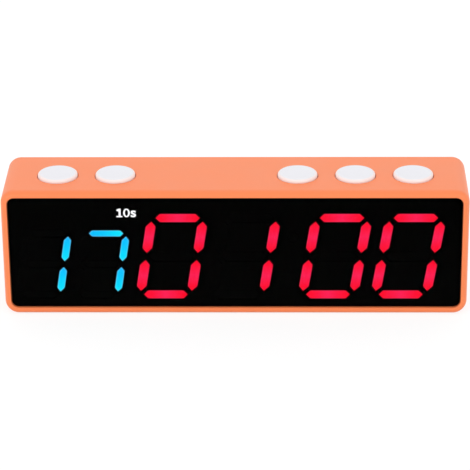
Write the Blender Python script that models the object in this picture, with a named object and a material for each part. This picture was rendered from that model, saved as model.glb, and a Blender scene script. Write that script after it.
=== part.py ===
"""Gym timer: a small interval clock with two blue and four red figures behind a smoked window.

It has five buttons on top, a rechargeable cell inside, magnets in its back cover and a camera thread below.
Lengths are in metres and +Z is up. X runs to the right as seen from the front, and Y runs to the back.
The origin is the middle of the underside of the casing."""

import math

import bmesh
import bpy

# Clearances
FIT = 0.0003
NOTCH_GAP = 0.0005

# Figures: seven strokes each, leaning to the right by SLANT
SLANT = 0.159
RED_PITCH = 0.02906
RED_SPAN = 0.02036
RED_RISE = 0.03395
RED_STROKE = 0.00405
RED_FLAT_GAP = 0.00246
RED_UPRIGHT_GAP = 0.003075
RED_POINT = 0.0019
COLON_SPACE = 0.00679
COLON_DOT = 0.0040
STROKE_END_SLOPE = 0.77
BLUE_PITCH = 0.02303
BLUE_SPAN = 0.01611
BLUE_RISE = 0.02694
BLUE_STROKE = 0.0031
BLUE_FLAT_GAP = 0.00226
BLUE_UPRIGHT_GAP = 0.00247
BLUE_POINT = 0.0015
GROUP_PITCH = 0.02797

# Display mask round the figures
MARGIN_LEFT = 0.01333
MARGIN_RIGHT = 0.0209
RIM_BELOW_RED = 0.0011
RIM_ABOVE_RED = 0.0060
RIM_BELOW_BLUE = 0.0018
MASK_DEPTH = 0.0057
MASK_FLANGE = 0.0020
MASK_STEP = 0.0021
MASK_CORNER = 0.0012
GUIDE_WEB = 0.0008
GUIDE_WEB_RIM = 0.0007
LEGEND_WIDTH = 0.0095
LEGEND_HEIGHT = 0.0050
LEGEND_DROP = 0.0060
LEGEND_SHIFT = 0.0103
LEGEND_DEPTH = 0.0020

# Casing
WALL = 0.0022
BEZEL_SIDE = 0.0026
BEZEL_TOP = 0.0024
BEZEL_BOTTOM = 0.0030
CASE_CORNER = 0.0055
FRONT_ROUND_INSET = 0.0020
FRONT_ROUND_DEPTH = 0.0028
BACK_ROUND = 0.0010
WINDOW_CORNER = 0.0030
WINDOW_CHAMFER = 0.0003
RAIL_OVERLAP = 0.0012
RAIL_THICKNESS = 0.0020
COVER_THICKNESS = 0.0020

# Window and its adhesive strips
PANEL_RECESS = 0.0008
PANEL_THICKNESS = 0.0018
TAPE_THICKNESS = 0.0004
TAPE_END = 0.0040

# Circuit boards
BOARD_THICKNESS = 0.0016
SMALL_BOARD_THICKNESS = 0.0012
LED_LENGTH = 0.0016
LED_WIDTH = 0.0008
LED_HEIGHT = 0.0007

# Cell and its bay
CELL_DIAMETER = 0.0184
CELL_LENGTH = 0.0650
CELL_CAP = 0.0007
CELL_SPACE_FRONT = 0.00235
CELL_SPACE_BACK = 0.00145
CELL_LIFT = 0.0021
CELL_END_GAP = 0.0095
CRADLE_RIB = 0.0016
CRADLE_RIM = 0.0014
CRADLE_RISE = 0.0068
PAD_LENGTH = 0.0400
PAD_HEIGHT = 0.0060
TAB_SIZE = 0.0080
TAB_THICKNESS = 0.0004

# Screws
SCREW_SHANK = 0.0018
SCREW_HEAD = 0.0040
SCREW_HEAD_HEIGHT = 0.0010
SCREW_LENGTH = 0.0050
SCREW_BITE_GAP = 0.0004
SCREW_RIM = 0.0002

# Pillars that take the screws
PILLAR_REACH = 0.0090
PILLAR_DROP = 0.0084
PILLAR_FOOT = 0.0061
PILLAR_WIDTH = 0.0052
LOW_PILLAR_RIGHT_OF_BLUE = 0.01124
COVER_PILLAR = 0.0070
COVER_PILLAR_DEPTH = 0.0090
POST_DIAMETER = 0.0046
POST_BEHIND_BUTTONS = 0.0066

# Buttons
BUTTON_DIAMETER = 0.0161
BUTTON_PITCH = 0.0230
BUTTON_END_INSET = 0.0217
BUTTON_FROM_MIDDLE = 0.0011
BUTTON_PROUD = 0.0013
BUTTON_EDGE = 0.0011
BUTTON_DISH = 0.0003
BUTTON_DISH_EDGE = 0.0022
BUTTON_WALL = 0.0014
BUTTON_STEM = 0.0042
FLANGE_LIP = 0.00125
FLANGE_HEIGHT = 0.0012
HOLE_CHAMFER = 0.0002
BUTTON_TRAVEL = 0.0008

# Tactile switches under the buttons
SWITCH_SIDE = 0.0060
SWITCH_HEIGHT = 0.0035
PLUNGER_DIAMETER = 0.0034
PLUNGER_PROUD = 0.0014
PLUNGER_SUNK = 0.0010
BUTTON_BOARD_END = 0.0092
BUTTON_BOARD_DEPTH = 0.0144

# Power board and charging socket
POWER_LEFT = 0.0300
POWER_WIDTH = 0.0320
POWER_DEPTH = 0.0186
POWER_LIFT = 0.0045
POWER_POST_INSET = 0.0036
POWER_CHIP_Y = 0.0098
POWER_CHIP_X = (0.0135, 0.0195)
POWER_CHIP_SIZES = ((0.0040, 0.0050, 0.0016), (0.0050, 0.0050, 0.0030))
BATTERY_PLUG_EDGE = 0.0006
BATTERY_PLUG_SIZE = (0.0060, 0.0058, 0.0046)
SOCKET_WIDTH = 0.00894
SOCKET_HEIGHT = 0.00326
SOCKET_DEPTH = 0.00735
SOCKET_WALL = 0.0003
SOCKET_CORNER = 0.0013
SOCKET_SUNK = 0.0006
SOCKET_BASE = 0.0014
TONGUE_WIDTH = 0.0066
TONGUE_HEIGHT = 0.0007
TONGUE_SHORT = 0.0012

# Sounder
BUZZER_DIAMETER = 0.0200
BUZZER_HEIGHT = 0.0050
BUZZER_X = 0.0125
BUZZER_Z = 0.0195
BUZZER_RING = 0.0012
BUZZER_RING_HEIGHT = 0.0022
SOUND_HOLE = 0.0015
SOUND_HOLE_PITCH = 0.0032

# Magnets in the back cover
MAGNET_DIAMETER = 0.0100
MAGNET_THICKNESS = 0.0030
MAGNET_SUNK = 0.0001
MAGNET_X = 0.0300
MAGNET_PITCH = 0.0400
MAGNET_Z = 0.0320
MAGNET_CUP_WALL = 0.0012

# Camera thread in the underside
INSERT_DIAMETER = 0.0080
INSERT_BORE = 0.0053
INSERT_LENGTH = 0.0078
INSERT_SUNK = 0.0002
INSERT_CHAMFER = 0.0005
INSERT_BOSS_WALL = 0.0013

# Chips and plugs on the back of the display board
CHIP_Z = 0.0325
CONTROLLER_X = 0.0500
CONTROLLER_SIZE = (0.0100, 0.0100, 0.0014)
DRIVER_LEFT_X = -0.0520
DRIVER_RIGHT_X = 0.0740
DRIVER_SIZE = (0.0104, 0.0076, 0.0023)
PLUG_HEIGHT = 0.0040
PLUG_RISE = 0.0030
PLUG_RIM = 0.0020
BUTTON_PLUG_X = 0.0060
BUTTON_PLUG_Z = 0.0350
POWER_PLUG_X = 0.0460
POWER_PLUG_Z = 0.0170

# Leads and ribbons
RIBBON_BEND = 0.0028
CELL_LEAD = 0.0014
BUZZER_LEAD = 0.0010
BUZZER_LEAD_DROP = 0.0087
BUZZER_LEAD_INSET = 0.0030
LEAD_STEP = 0.0028
RIBBON_WIDTH = 0.0100
RIBBON_THICKNESS = 0.0006
RIBBON_STEPS = 12

# Roundness
CORNER_STEPS = 5
HOLE_STEPS = 24
SMALL_STEPS = 8
SMOOTH_ANGLE = math.radians(35)

# Finishes: base colour, roughness and metalness
FINISHES = {
    "orange_shell": ((0.98, 0.33, 0.16), 0.45, 0.0),
    "smoked_window": ((0.01, 0.01, 0.012), 0.05, 0.0),
    "mask_black": ((0.015, 0.015, 0.015), 0.6, 0.0),
    "blue_light": ((0.05, 0.65, 0.95), 0.4, 0.0),
    "red_light": ((0.9, 0.02, 0.06), 0.4, 0.0),
    "legend_white": ((0.8, 0.8, 0.8), 0.5, 0.0),
    "cap_white": ((0.88, 0.86, 0.87), 0.35, 0.0),
    "dark_plastic": ((0.02, 0.02, 0.022), 0.5, 0.0),
    "foam": ((0.05, 0.05, 0.052), 0.95, 0.0),
    "board_green": ((0.02, 0.18, 0.06), 0.5, 0.0),
    "plug_white": ((0.85, 0.82, 0.75), 0.5, 0.0),
    "cell_sleeve": ((0.05, 0.22, 0.55), 0.4, 0.0),
    "ribbon_grey": ((0.45, 0.45, 0.47), 0.5, 0.0),
    "lead_red": ((0.65, 0.03, 0.03), 0.4, 0.0),
    "lead_black": ((0.02, 0.02, 0.02), 0.4, 0.0),
    "steel": ((0.6, 0.6, 0.62), 0.3, 1.0),
    "black_steel": ((0.08, 0.08, 0.085), 0.35, 1.0),
    "nickel": ((0.72, 0.71, 0.69), 0.2, 1.0),
    "brass": ((0.72, 0.52, 0.2), 0.3, 1.0),
}

# Places worked out from the sizes above: across
MASK_HALF = (MARGIN_LEFT + BLUE_PITCH + GROUP_PITCH + 3 * RED_PITCH + COLON_SPACE + MARGIN_RIGHT) / 2
OPENING_HALF = MASK_HALF + FIT
CASE_HALF = OPENING_HALF + BEZEL_SIDE
INSIDE_HALF = CASE_HALF - WALL
BLUE_X = [-MASK_HALF + MARGIN_LEFT, -MASK_HALF + MARGIN_LEFT + BLUE_PITCH]
RED_FIRST = BLUE_X[1] + GROUP_PITCH
RED_X = [RED_FIRST + i * RED_PITCH + (COLON_SPACE if i > 1 else 0.0) for i in range(4)]
COLON_X = (RED_X[1] + RED_X[2]) / 2
BUTTON_X = [
    -CASE_HALF + BUTTON_END_INSET,
    -CASE_HALF + BUTTON_END_INSET + BUTTON_PITCH,
    CASE_HALF - BUTTON_END_INSET - 2 * BUTTON_PITCH,
    CASE_HALF - BUTTON_END_INSET - BUTTON_PITCH,
    CASE_HALF - BUTTON_END_INSET,
]
POST_X = [x + side * BUTTON_PITCH / 2 for x, side in zip(BUTTON_X, (1, 1, None, -1, -1)) if side]
CELL_RIGHT = -INSIDE_HALF + CELL_END_GAP + CELL_LENGTH
CELL_LEFT = CELL_RIGHT - CELL_LENGTH

# Up
MASK_BOTTOM = BEZEL_BOTTOM + RAIL_OVERLAP + FIT
MASK_TOP = MASK_BOTTOM + RIM_BELOW_RED + RED_STROKE + RED_RISE + RIM_ABOVE_RED
BODY_TOP = MASK_TOP - MASK_STEP
OPENING_TOP = MASK_TOP + FIT + RAIL_OVERLAP
CASE_TOP = OPENING_TOP + BEZEL_TOP
INSIDE_TOP = CASE_TOP - WALL
RED_Z = MASK_BOTTOM + RIM_BELOW_RED + (RED_STROKE + RED_RISE) / 2
BLUE_Z = MASK_BOTTOM + RIM_BELOW_BLUE + (BLUE_STROKE + BLUE_RISE) / 2
FLANGE_TOP = INSIDE_TOP - FIT
FLANGE_BOTTOM = FLANGE_TOP - FLANGE_HEIGHT
SWITCH_TOP = FLANGE_BOTTOM - BUTTON_TRAVEL - FIT - PLUNGER_PROUD
SWITCH_BOTTOM = SWITCH_TOP - SWITCH_HEIGHT
BUTTON_BOARD_TOP = SWITCH_BOTTOM - FIT
BUTTON_BOARD_BOTTOM = BUTTON_BOARD_TOP - BOARD_THICKNESS
CELL_Z = WALL + CELL_LIFT + CELL_DIAMETER / 2
POWER_BOTTOM = WALL + POWER_LIFT + FIT
POWER_TOP = POWER_BOTTOM + SMALL_BOARD_THICKNESS
SOCKET_Z = POWER_TOP + FIT + SOCKET_HEIGHT / 2

# Front to back
BAY_DEPTH = CELL_SPACE_FRONT + CELL_DIAMETER + CELL_SPACE_BACK
CASE_DEPTH = (
    PANEL_RECESS
    + PANEL_THICKNESS
    + FIT
    + MASK_DEPTH
    + FIT
    + GUIDE_WEB
    + FIT
    + LED_HEIGHT
    + BOARD_THICKNESS
    + BAY_DEPTH
    + COVER_THICKNESS
)
FRONT = -CASE_DEPTH / 2
BACK = CASE_DEPTH / 2
PANEL_FRONT = FRONT + PANEL_RECESS
PANEL_BACK = PANEL_FRONT + PANEL_THICKNESS
TAPE_FRONT = PANEL_BACK + FIT
TAPE_BACK = TAPE_FRONT + TAPE_THICKNESS
RAIL_FRONT = TAPE_BACK + FIT
RAIL_BACK = RAIL_FRONT + RAIL_THICKNESS
MASK_FRONT = PANEL_BACK + FIT
MASK_BACK = MASK_FRONT + MASK_DEPTH
WEB_FRONT = MASK_BACK + FIT
WEB_BACK = WEB_FRONT + GUIDE_WEB
BOARD_FRONT = WEB_BACK + FIT + LED_HEIGHT
BOARD_BACK = BOARD_FRONT + BOARD_THICKNESS
COVER_FRONT = BOARD_BACK + BAY_DEPTH
CELL_Y = BOARD_BACK + CELL_SPACE_FRONT + CELL_DIAMETER / 2
BUTTON_Y = -BUTTON_FROM_MIDDLE
POST_Y = BUTTON_Y + POST_BEHIND_BUTTONS
POWER_BACK = COVER_FRONT - 2 * FIT
POWER_FRONT = POWER_BACK - POWER_DEPTH
SOCKET_BACK = BACK - SOCKET_SUNK
SOCKET_FRONT = SOCKET_BACK - SOCKET_DEPTH
SOCKET_X = POWER_LEFT + POWER_WIDTH / 2
BUZZER_FRONT = COVER_FRONT - FIT - BUZZER_HEIGHT

PLUG_X = (POWER_LEFT + BATTERY_PLUG_EDGE, POWER_LEFT + BATTERY_PLUG_EDGE + BATTERY_PLUG_SIZE[0])
PLUG_Y = (POWER_FRONT + BATTERY_PLUG_EDGE, POWER_FRONT + BATTERY_PLUG_EDGE + BATTERY_PLUG_SIZE[1])
PLUG_TALL = BATTERY_PLUG_SIZE[2]


# Shape helpers


def clear_scene():
    """Remove what the new file starts with."""
    for obj in list(bpy.data.objects):
        bpy.data.objects.remove(obj, do_unlink=True)


def paint(name):
    """The plain material of this name, made at its first use."""
    if name in bpy.data.materials:
        return bpy.data.materials[name]
    color, roughness, metallic = FINISHES[name]
    made = bpy.data.materials.new(name)
    made.use_nodes = True
    shader = made.node_tree.nodes["Principled BSDF"]
    shader.inputs["Base Color"].default_value = (*color, 1.0)
    shader.inputs["Roughness"].default_value = roughness
    shader.inputs["Metallic"].default_value = metallic
    made.diffuse_color = (*color, 1.0)
    return made


def place(axis, across, other, along):
    """The point that lies at (across, other) in the plane square to an axis, and at along on it."""
    if axis == "X":
        return (along, across, other)
    if axis == "Y":
        return (across, along, other)
    return (across, other, along)


def add_loft(shape, rings):
    """A closed body through rings of points, with a flat face on each end."""
    loops = [[shape.verts.new(point) for point in ring] for ring in rings]
    for first, second in zip(loops, loops[1:]):
        for i in range(len(first)):
            j = (i + 1) % len(first)
            shape.faces.new((first[i], first[j], second[j], second[i]))
    shape.faces.new(loops[0][::-1])
    shape.faces.new(loops[-1])


def add_prism(shape, outline, axis, low, high):
    """A closed body with a flat outline, from low to high along an axis."""
    add_loft(shape, [[place(axis, u, v, at) for u, v in outline] for at in (low, high)])


def add_box(shape, x, y, z):
    """A box between pairs of limits."""
    outline = [(x[0], y[0]), (x[1], y[0]), (x[1], y[1]), (x[0], y[1])]
    add_prism(shape, outline, "Z", z[0], z[1])


def around(middle, size):
    """The pair of limits that lies evenly about a middle."""
    return (middle - size / 2, middle + size / 2)


def add_turned(shape, profile, axis, centre, steps, ring=False):
    """A turned body. The profile is (radius, place on the axis), from end to end, or round a ring."""
    across, other = centre
    loops = []
    for radius, along in profile:
        if radius == 0:
            loops.append([shape.verts.new(place(axis, across, other, along))])
            continue
        turns = [2 * math.pi * i / steps for i in range(steps)]
        points = [(across + radius * math.cos(t), other + radius * math.sin(t)) for t in turns]
        loops.append([shape.verts.new(place(axis, u, v, along)) for u, v in points])
    pairs = list(zip(loops, loops[1:]))
    if ring:
        pairs.append((loops[-1], loops[0]))
    for first, second in pairs:
        for i in range(steps):
            j = (i + 1) % steps
            low = [first[i % len(first)], first[j % len(first)]]
            high = [second[j % len(second)], second[i % len(second)]]
            shape.faces.new(list(dict.fromkeys(low + high)))


def add_pin(shape, diameter, axis, centre, low, high, steps=SMALL_STEPS):
    """A plain round bar."""
    add_turned(shape, [(0, low), (diameter / 2, low), (diameter / 2, high), (0, high)], axis, centre, steps)


def cornered_outline(left, right, bottom, top, radii, steps=CORNER_STEPS):
    """The points of a rectangle with a radius for each corner, from the top right round by the top left."""
    outline = []
    corners = ((right, top, 1, 1), (left, top, -1, 1), (left, bottom, -1, -1), (right, bottom, 1, -1))
    for number, ((x, z, side, rise), radius) in enumerate(zip(corners, radii)):
        for i in range(steps + 1 if radius else 1):
            turn = math.pi / 2 * (number + i / steps)
            middle_x, middle_z = x - side * radius, z - rise * radius
            outline.append((middle_x + radius * math.cos(turn), middle_z + radius * math.sin(turn)))
    return outline


def rounded_outline(left, right, bottom, top, radius, steps=CORNER_STEPS):
    """The points of a rectangle with equal round corners."""
    return cornered_outline(left, right, bottom, top, (radius,) * 4, steps)


def smooth(mesh):
    """Shade round sides smooth and keep the edges between flat ones sharp."""
    mesh.shade_smooth()
    mesh.set_sharp_from_angle(angle=SMOOTH_ANGLE)


def finish(name, shape, material, origin=(0.0, 0.0, 0.0)):
    """A named object from a shape, with its faces out and its round sides smooth."""
    bmesh.ops.recalc_face_normals(shape, faces=shape.faces)
    mesh = bpy.data.meshes.new(name)
    shape.to_mesh(mesh)
    shape.free()
    mesh.materials.append(material)
    smooth(mesh)
    made = bpy.data.objects.new(name, mesh)
    made.location = origin
    bpy.context.scene.collection.objects.link(made)
    return made


def shape_with(target, shape, operation):
    """Cut a shape out of an object or join it on, for good."""
    tool = finish("tool", shape, target.data.materials[0])
    step = target.modifiers.new("step", "BOOLEAN")
    step.operation = operation
    step.solver = "EXACT"
    step.object = tool
    result = bpy.data.meshes.new_from_object(target.evaluated_get(bpy.context.evaluated_depsgraph_get()))
    target.modifiers.clear()
    target.data = result
    result.name = target.name
    smooth(result)
    bpy.data.objects.remove(tool, do_unlink=True)


def cut(target, shape):
    """Cut a shape out of an object."""
    shape_with(target, shape, "DIFFERENCE")


def join(target, shape):
    """Join a shape onto an object."""
    shape_with(target, shape, "UNION")


# Figures


def stroke_outlines(x, z, span, rise, stroke, flat_gap, upright_gap, point):
    """The outlines of the seven strokes of one figure.

    They run from the top one clockwise, with the middle one last. The level strokes are shorter than the
    span by the first gap, and the upright ones shorter than half the rise by the second.
    """

    def flat(height):
        """A level stroke with pointed ends."""
        middle = x + SLANT * height
        half, thick = (span - flat_gap) / 2, stroke / 2
        inner = half - thick * STROKE_END_SLOPE
        return [
            (middle - half, z + height),
            (middle - inner, z + height - thick),
            (middle + inner, z + height - thick),
            (middle + half, z + height),
            (middle + inner, z + height + thick),
            (middle - inner, z + height + thick),
        ]

    def upright(side, height):
        """A leaning stroke with pointed ends."""
        half, thick = (rise / 2 - upright_gap) / 2, stroke / 2
        shoulder = half - point
        right = [(0, -half), (thick, -shoulder), (thick, shoulder)]
        middle = x + side * span / 2
        outline = right + [(-across, -up) for across, up in right]
        return [(middle + SLANT * (height + up) + across, z + height + up) for across, up in outline]

    top, quarter = rise / 2, rise / 4
    return [
        flat(top),
        upright(1, quarter),
        upright(1, -quarter),
        flat(-top),
        upright(-1, -quarter),
        upright(-1, quarter),
        flat(0.0),
    ]


def blue_strokes(number):
    """The strokes of a blue figure, counted from the left."""
    sizes = (BLUE_SPAN, BLUE_RISE, BLUE_STROKE, BLUE_FLAT_GAP, BLUE_UPRIGHT_GAP, BLUE_POINT)
    return stroke_outlines(BLUE_X[number], BLUE_Z, *sizes)


def red_strokes(number):
    """The strokes of a red figure, counted from the left."""
    sizes = (RED_SPAN, RED_RISE, RED_STROKE, RED_FLAT_GAP, RED_UPRIGHT_GAP, RED_POINT)
    return stroke_outlines(RED_X[number], RED_Z, *sizes)


def grown(outline, gap):
    """A convex outline with every side moved out by a gap."""
    middle_x = sum(p[0] for p in outline) / len(outline)
    middle_z = sum(p[1] for p in outline) / len(outline)
    sides = []
    for (x0, z0), (x1, z1) in zip(outline, outline[1:] + outline[:1]):
        length = math.hypot(x1 - x0, z1 - z0)
        normal = ((z1 - z0) / length, (x0 - x1) / length)
        offset = normal[0] * x0 + normal[1] * z0
        if normal[0] * middle_x + normal[1] * middle_z > offset:
            normal, offset = (-normal[0], -normal[1]), -offset
        sides.append((normal, offset + gap))
    corners = []
    for ((a, b), c), ((d, e), f) in zip(sides[-1:] + sides[:-1], sides):
        across = a * e - b * d
        corners.append(((c * e - b * f) / across, (a * f - c * d) / across))
    return corners


def centre_of(outline):
    """The middle of an outline."""
    return (sum(p[0] for p in outline) / len(outline), sum(p[1] for p in outline) / len(outline))


def legend_limits():
    """The left, right, bottom and top of the small plate for the lead-in legend."""
    middle_x = BLUE_X[1] + LEGEND_SHIFT
    top = MASK_TOP - LEGEND_DROP + LEGEND_HEIGHT / 2
    return (middle_x - LEGEND_WIDTH / 2, middle_x + LEGEND_WIDTH / 2, top - LEGEND_HEIGHT, top)


def colon_centres():
    """Where the two colon dots lie."""
    return [(COLON_X + SLANT * side * RED_RISE / 4, RED_Z + side * RED_RISE / 4) for side in (-1, 1)]


def web_outline(x_first, x_last, z, span, rise):
    """The leaning outline just outside the middles of the outermost strokes of a group of figures."""
    half = rise / 2 + GUIDE_WEB_RIM
    lean = SLANT * half
    left, right = x_first - span / 2 - GUIDE_WEB_RIM, x_last + span / 2 + GUIDE_WEB_RIM
    below = [(left - lean, z - half), (right - lean, z - half)]
    return below + [(right + lean, z + half), (left + lean, z + half)]


def light_guides():
    """The two clear mouldings whose raised strokes fill the windows of the mask, and the legend's plate."""
    blue_web = web_outline(BLUE_X[0], BLUE_X[-1], BLUE_Z, BLUE_SPAN, BLUE_RISE)
    red_web = web_outline(RED_X[0], RED_X[-1], RED_Z, RED_SPAN, RED_RISE)
    blue = [outline for number in range(len(BLUE_X)) for outline in blue_strokes(number)]
    red = [outline for number in range(len(RED_X)) for outline in red_strokes(number)]
    for color, web, outlines in (("blue", blue_web, blue), ("red", red_web, red)):
        shape = bmesh.new()
        add_prism(shape, web, "Y", WEB_FRONT, WEB_BACK)
        guide = finish(f"{color}_light_guide", shape, paint(f"{color}_light"))
        shape = bmesh.new()
        for outline in outlines:
            add_prism(shape, outline, "Y", MASK_FRONT, WEB_FRONT + GUIDE_WEB / 2)
        if color == "red":
            for centre in colon_centres():
                add_pin(shape, COLON_DOT, "Y", centre, MASK_FRONT, WEB_FRONT + GUIDE_WEB / 2)
        join(guide, shape)
    left, right, bottom, top = legend_limits()
    shape = bmesh.new()
    add_box(shape, (left, right), (MASK_FRONT, MASK_FRONT + LEGEND_DEPTH), (bottom, top))
    finish("lead_in_legend", shape, paint("legend_white"))


# Screws and pillars


def display_pillars():
    """The four blocks that hold the display, as limits across and up, each with its screw's place."""
    inner = INSIDE_HALF - PILLAR_REACH
    low_x = BLUE_X[1] + LOW_PILLAR_RIGHT_OF_BLUE
    screw_top = BODY_TOP - SCREW_HEAD / 2 - SCREW_RIM
    screw_bottom = MASK_BOTTOM + SCREW_HEAD / 2 + SCREW_RIM
    screw_x = INSIDE_HALF - PILLAR_REACH / 2
    return [
        ((-INSIDE_HALF, -inner), (INSIDE_TOP - PILLAR_DROP, INSIDE_TOP), (-screw_x, screw_top)),
        ((inner, INSIDE_HALF), (INSIDE_TOP - PILLAR_DROP, INSIDE_TOP), (screw_x, screw_top)),
        (around(low_x, PILLAR_WIDTH), (WALL, WALL + PILLAR_FOOT), (low_x, screw_bottom)),
        ((inner, INSIDE_HALF), (WALL, WALL + PILLAR_FOOT), (screw_x, screw_bottom)),
    ]


def cover_pillars():
    """The four corner blocks for the cover's screws, as limits across and up, with each screw's place."""
    inner = INSIDE_HALF - COVER_PILLAR
    blocks = []
    for x in ((-INSIDE_HALF, -inner), (inner, INSIDE_HALF)):
        for z in ((WALL, WALL + COVER_PILLAR), (INSIDE_TOP - COVER_PILLAR, INSIDE_TOP)):
            blocks.append((x, z, (sum(x) / 2, sum(z) / 2)))
    return blocks


def add_screw(shape, axis, centre, seat, inward):
    """A pan-head screw whose head sits on a seat and whose shank runs inward, +1 or -1 along the axis."""
    tip = seat + inward * SCREW_LENGTH
    top = seat - inward * SCREW_HEAD_HEIGHT
    profile = [
        (0, tip),
        (SCREW_SHANK / 2, tip),
        (SCREW_SHANK / 2, seat),
        (SCREW_HEAD / 2, seat),
        (SCREW_HEAD / 2, top + inward * SCREW_HEAD_HEIGHT / 2),
        (SCREW_HEAD / 2 - SCREW_HEAD_HEIGHT / 3, top),
        (0, top),
    ]
    add_turned(shape, profile, axis, centre, SMALL_STEPS)


def screws(name, material, axis, centres, seat, inward):
    """Equal screws, one named object each."""
    for number, centre in enumerate(centres, start=1):
        shape = bmesh.new()
        add_screw(shape, axis, centre, seat, inward)
        finish(f"{name}_{number}", shape, material)


def add_screw_hole(shape, axis, centre, mouth, inward, seat):
    """The hole in a pillar, from its mouth to just past the tip of a screw with its head on a seat."""
    end = seat + inward * (SCREW_LENGTH + SCREW_BITE_GAP)
    start = mouth - inward * FIT / 2
    add_pin(shape, SCREW_SHANK + 2 * FIT, axis, centre, min(start, end), max(start, end))


def button_board_screw_places():
    """The two outer posts of the button board, which take its screws."""
    return [(POST_X[0], POST_Y), (POST_X[-1], POST_Y)]


def power_posts():
    """Where the two posts of the power board stand, corner to corner."""
    return [
        (POWER_LEFT + POWER_POST_INSET, POWER_BACK - POWER_POST_INSET),
        (POWER_LEFT + POWER_WIDTH - POWER_POST_INSET, POWER_FRONT + POWER_POST_INSET),
    ]


# Casing


def casing_block():
    """The outside of the casing as one solid, with its rounded front and back edges."""
    rings = []
    for i in range(CORNER_STEPS + 1):
        turn = math.pi / 2 * i / CORNER_STEPS
        inset = FRONT_ROUND_INSET * (1 - math.sin(turn))
        rings.append((FRONT + FRONT_ROUND_DEPTH * (1 - math.cos(turn)), inset))
    for i in range(CORNER_STEPS // 2 + 1):
        turn = math.pi / 2 * i / (CORNER_STEPS // 2)
        rings.append((BACK - BACK_ROUND * (1 - math.sin(turn)), BACK_ROUND * (1 - math.cos(turn))))
    shape = bmesh.new()
    add_loft(
        shape,
        [
            [
                (x, y, z)
                for x, z in rounded_outline(
                    -CASE_HALF + inset, CASE_HALF - inset, inset, CASE_TOP - inset, CASE_CORNER - inset
                )
            ]
            for y, inset in rings
        ],
    )
    return shape


def window_outline(grow):
    """The window's opening in the front, made larger by a given amount."""
    half = OPENING_HALF + grow
    return rounded_outline(-half, half, BEZEL_BOTTOM - grow, OPENING_TOP + grow, WINDOW_CORNER + grow)


def window_cut():
    """The opening for the window, with its small chamfer."""
    start = FRONT - WINDOW_CHAMFER
    rings = ((start, 2 * WINDOW_CHAMFER), (FRONT + WINDOW_CHAMFER, 0.0), (RAIL_FRONT, 0.0))
    shape = bmesh.new()
    add_loft(shape, [[(x, y, z) for x, z in window_outline(grow)] for y, grow in rings])
    return shape


def rooted_outline(x, z, root):
    """A pillar's outline, sunk into the walls that it touches and rounded with the casing in a corner."""
    sides = (x[0] == -INSIDE_HALF, x[1] == INSIDE_HALF)
    levels = (z[0] == WALL, z[1] == INSIDE_TOP)
    left, right = x[0] - root * sides[0], x[1] + root * sides[1]
    bottom, top = z[0] - root * levels[0], z[1] + root * levels[1]
    corners = ((sides[1], levels[1]), (sides[0], levels[1]), (sides[0], levels[0]), (sides[1], levels[0]))
    radii = [CASE_CORNER - root if side and level else 0.0 for side, level in corners]
    return cornered_outline(left, right, bottom, top, radii)


def case_fittings():
    """The pillars, posts, ribs and boss that stand inside the casing, each rooted in its wall."""
    root = WALL / 2
    shape = bmesh.new()
    for x, z, _ in display_pillars():
        add_prism(shape, rooted_outline(x, z, root), "Y", RAIL_BACK - root, BOARD_FRONT - FIT)
    for x, z, _ in cover_pillars():
        face = COVER_FRONT - FIT
        add_prism(shape, rooted_outline(x, z, root), "Y", face - COVER_PILLAR_DEPTH, face)
    for x in POST_X:
        low, high = BUTTON_BOARD_TOP + FIT, INSIDE_TOP + root
        add_pin(shape, POST_DIAMETER, "Z", (x, POST_Y), low, high, 2 * SMALL_STEPS)
    for centre in power_posts():
        add_pin(shape, POST_DIAMETER, "Z", centre, root, POWER_BOTTOM - FIT, 2 * SMALL_STEPS)
    for x in cradle_places():
        add_prism(shape, cradle_outline(root), "X", *around(x, CRADLE_RIB))
    boss = INSERT_DIAMETER + 2 * (FIT + INSERT_BOSS_WALL)
    add_pin(shape, boss, "Z", (0, 0), root, INSERT_SUNK + INSERT_LENGTH + INSERT_BOSS_WALL, 2 * SMALL_STEPS)
    return shape


def cradle_outline(root):
    """The outline of one rib of the cell's cradle, back and up, with the round seat in its top."""
    front, back = CELL_Y - CELL_DIAMETER / 2 - CRADLE_RIM, COVER_FRONT - 2 * FIT
    top = WALL + CELL_LIFT + CRADLE_RISE
    radius = CELL_DIAMETER / 2 + FIT
    rise = math.asin((CELL_Z - top) / radius)
    turns = [rise + (math.pi - 2 * rise) * i / SMALL_STEPS for i in range(SMALL_STEPS + 1)]
    seat = [(CELL_Y + radius * math.cos(t), CELL_Z - radius * math.sin(t)) for t in turns]
    return [(front, root), (back, root), (back, top), *seat, (front, top)]


def cradle_places():
    """Where the three ribs of the cell's cradle stand, evenly along the cell."""
    return [CELL_LEFT + CELL_LENGTH * share for share in (0.15, 0.5, 0.85)]


def case_holes():
    """The screw holes and the insert's hole in the casing."""
    shape = bmesh.new()
    for _, _, centre in display_pillars():
        add_screw_hole(shape, "Y", centre, BOARD_FRONT - FIT, -1, BOARD_BACK + FIT)
    for _, _, centre in cover_pillars():
        add_screw_hole(shape, "Y", centre, COVER_FRONT - FIT, -1, cover_seat() + FIT)
    for centre in button_board_screw_places():
        add_screw_hole(shape, "Z", centre, BUTTON_BOARD_TOP + FIT, 1, BUTTON_BOARD_BOTTOM - FIT)
    for centre in power_posts():
        add_screw_hole(shape, "Z", centre, POWER_BOTTOM - FIT, -1, POWER_TOP + FIT)
    insert_hole = INSERT_DIAMETER + 2 * FIT
    add_pin(shape, insert_hole, "Z", (0, 0), -FIT, INSERT_SUNK + INSERT_LENGTH + FIT, 2 * SMALL_STEPS)
    return shape


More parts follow.
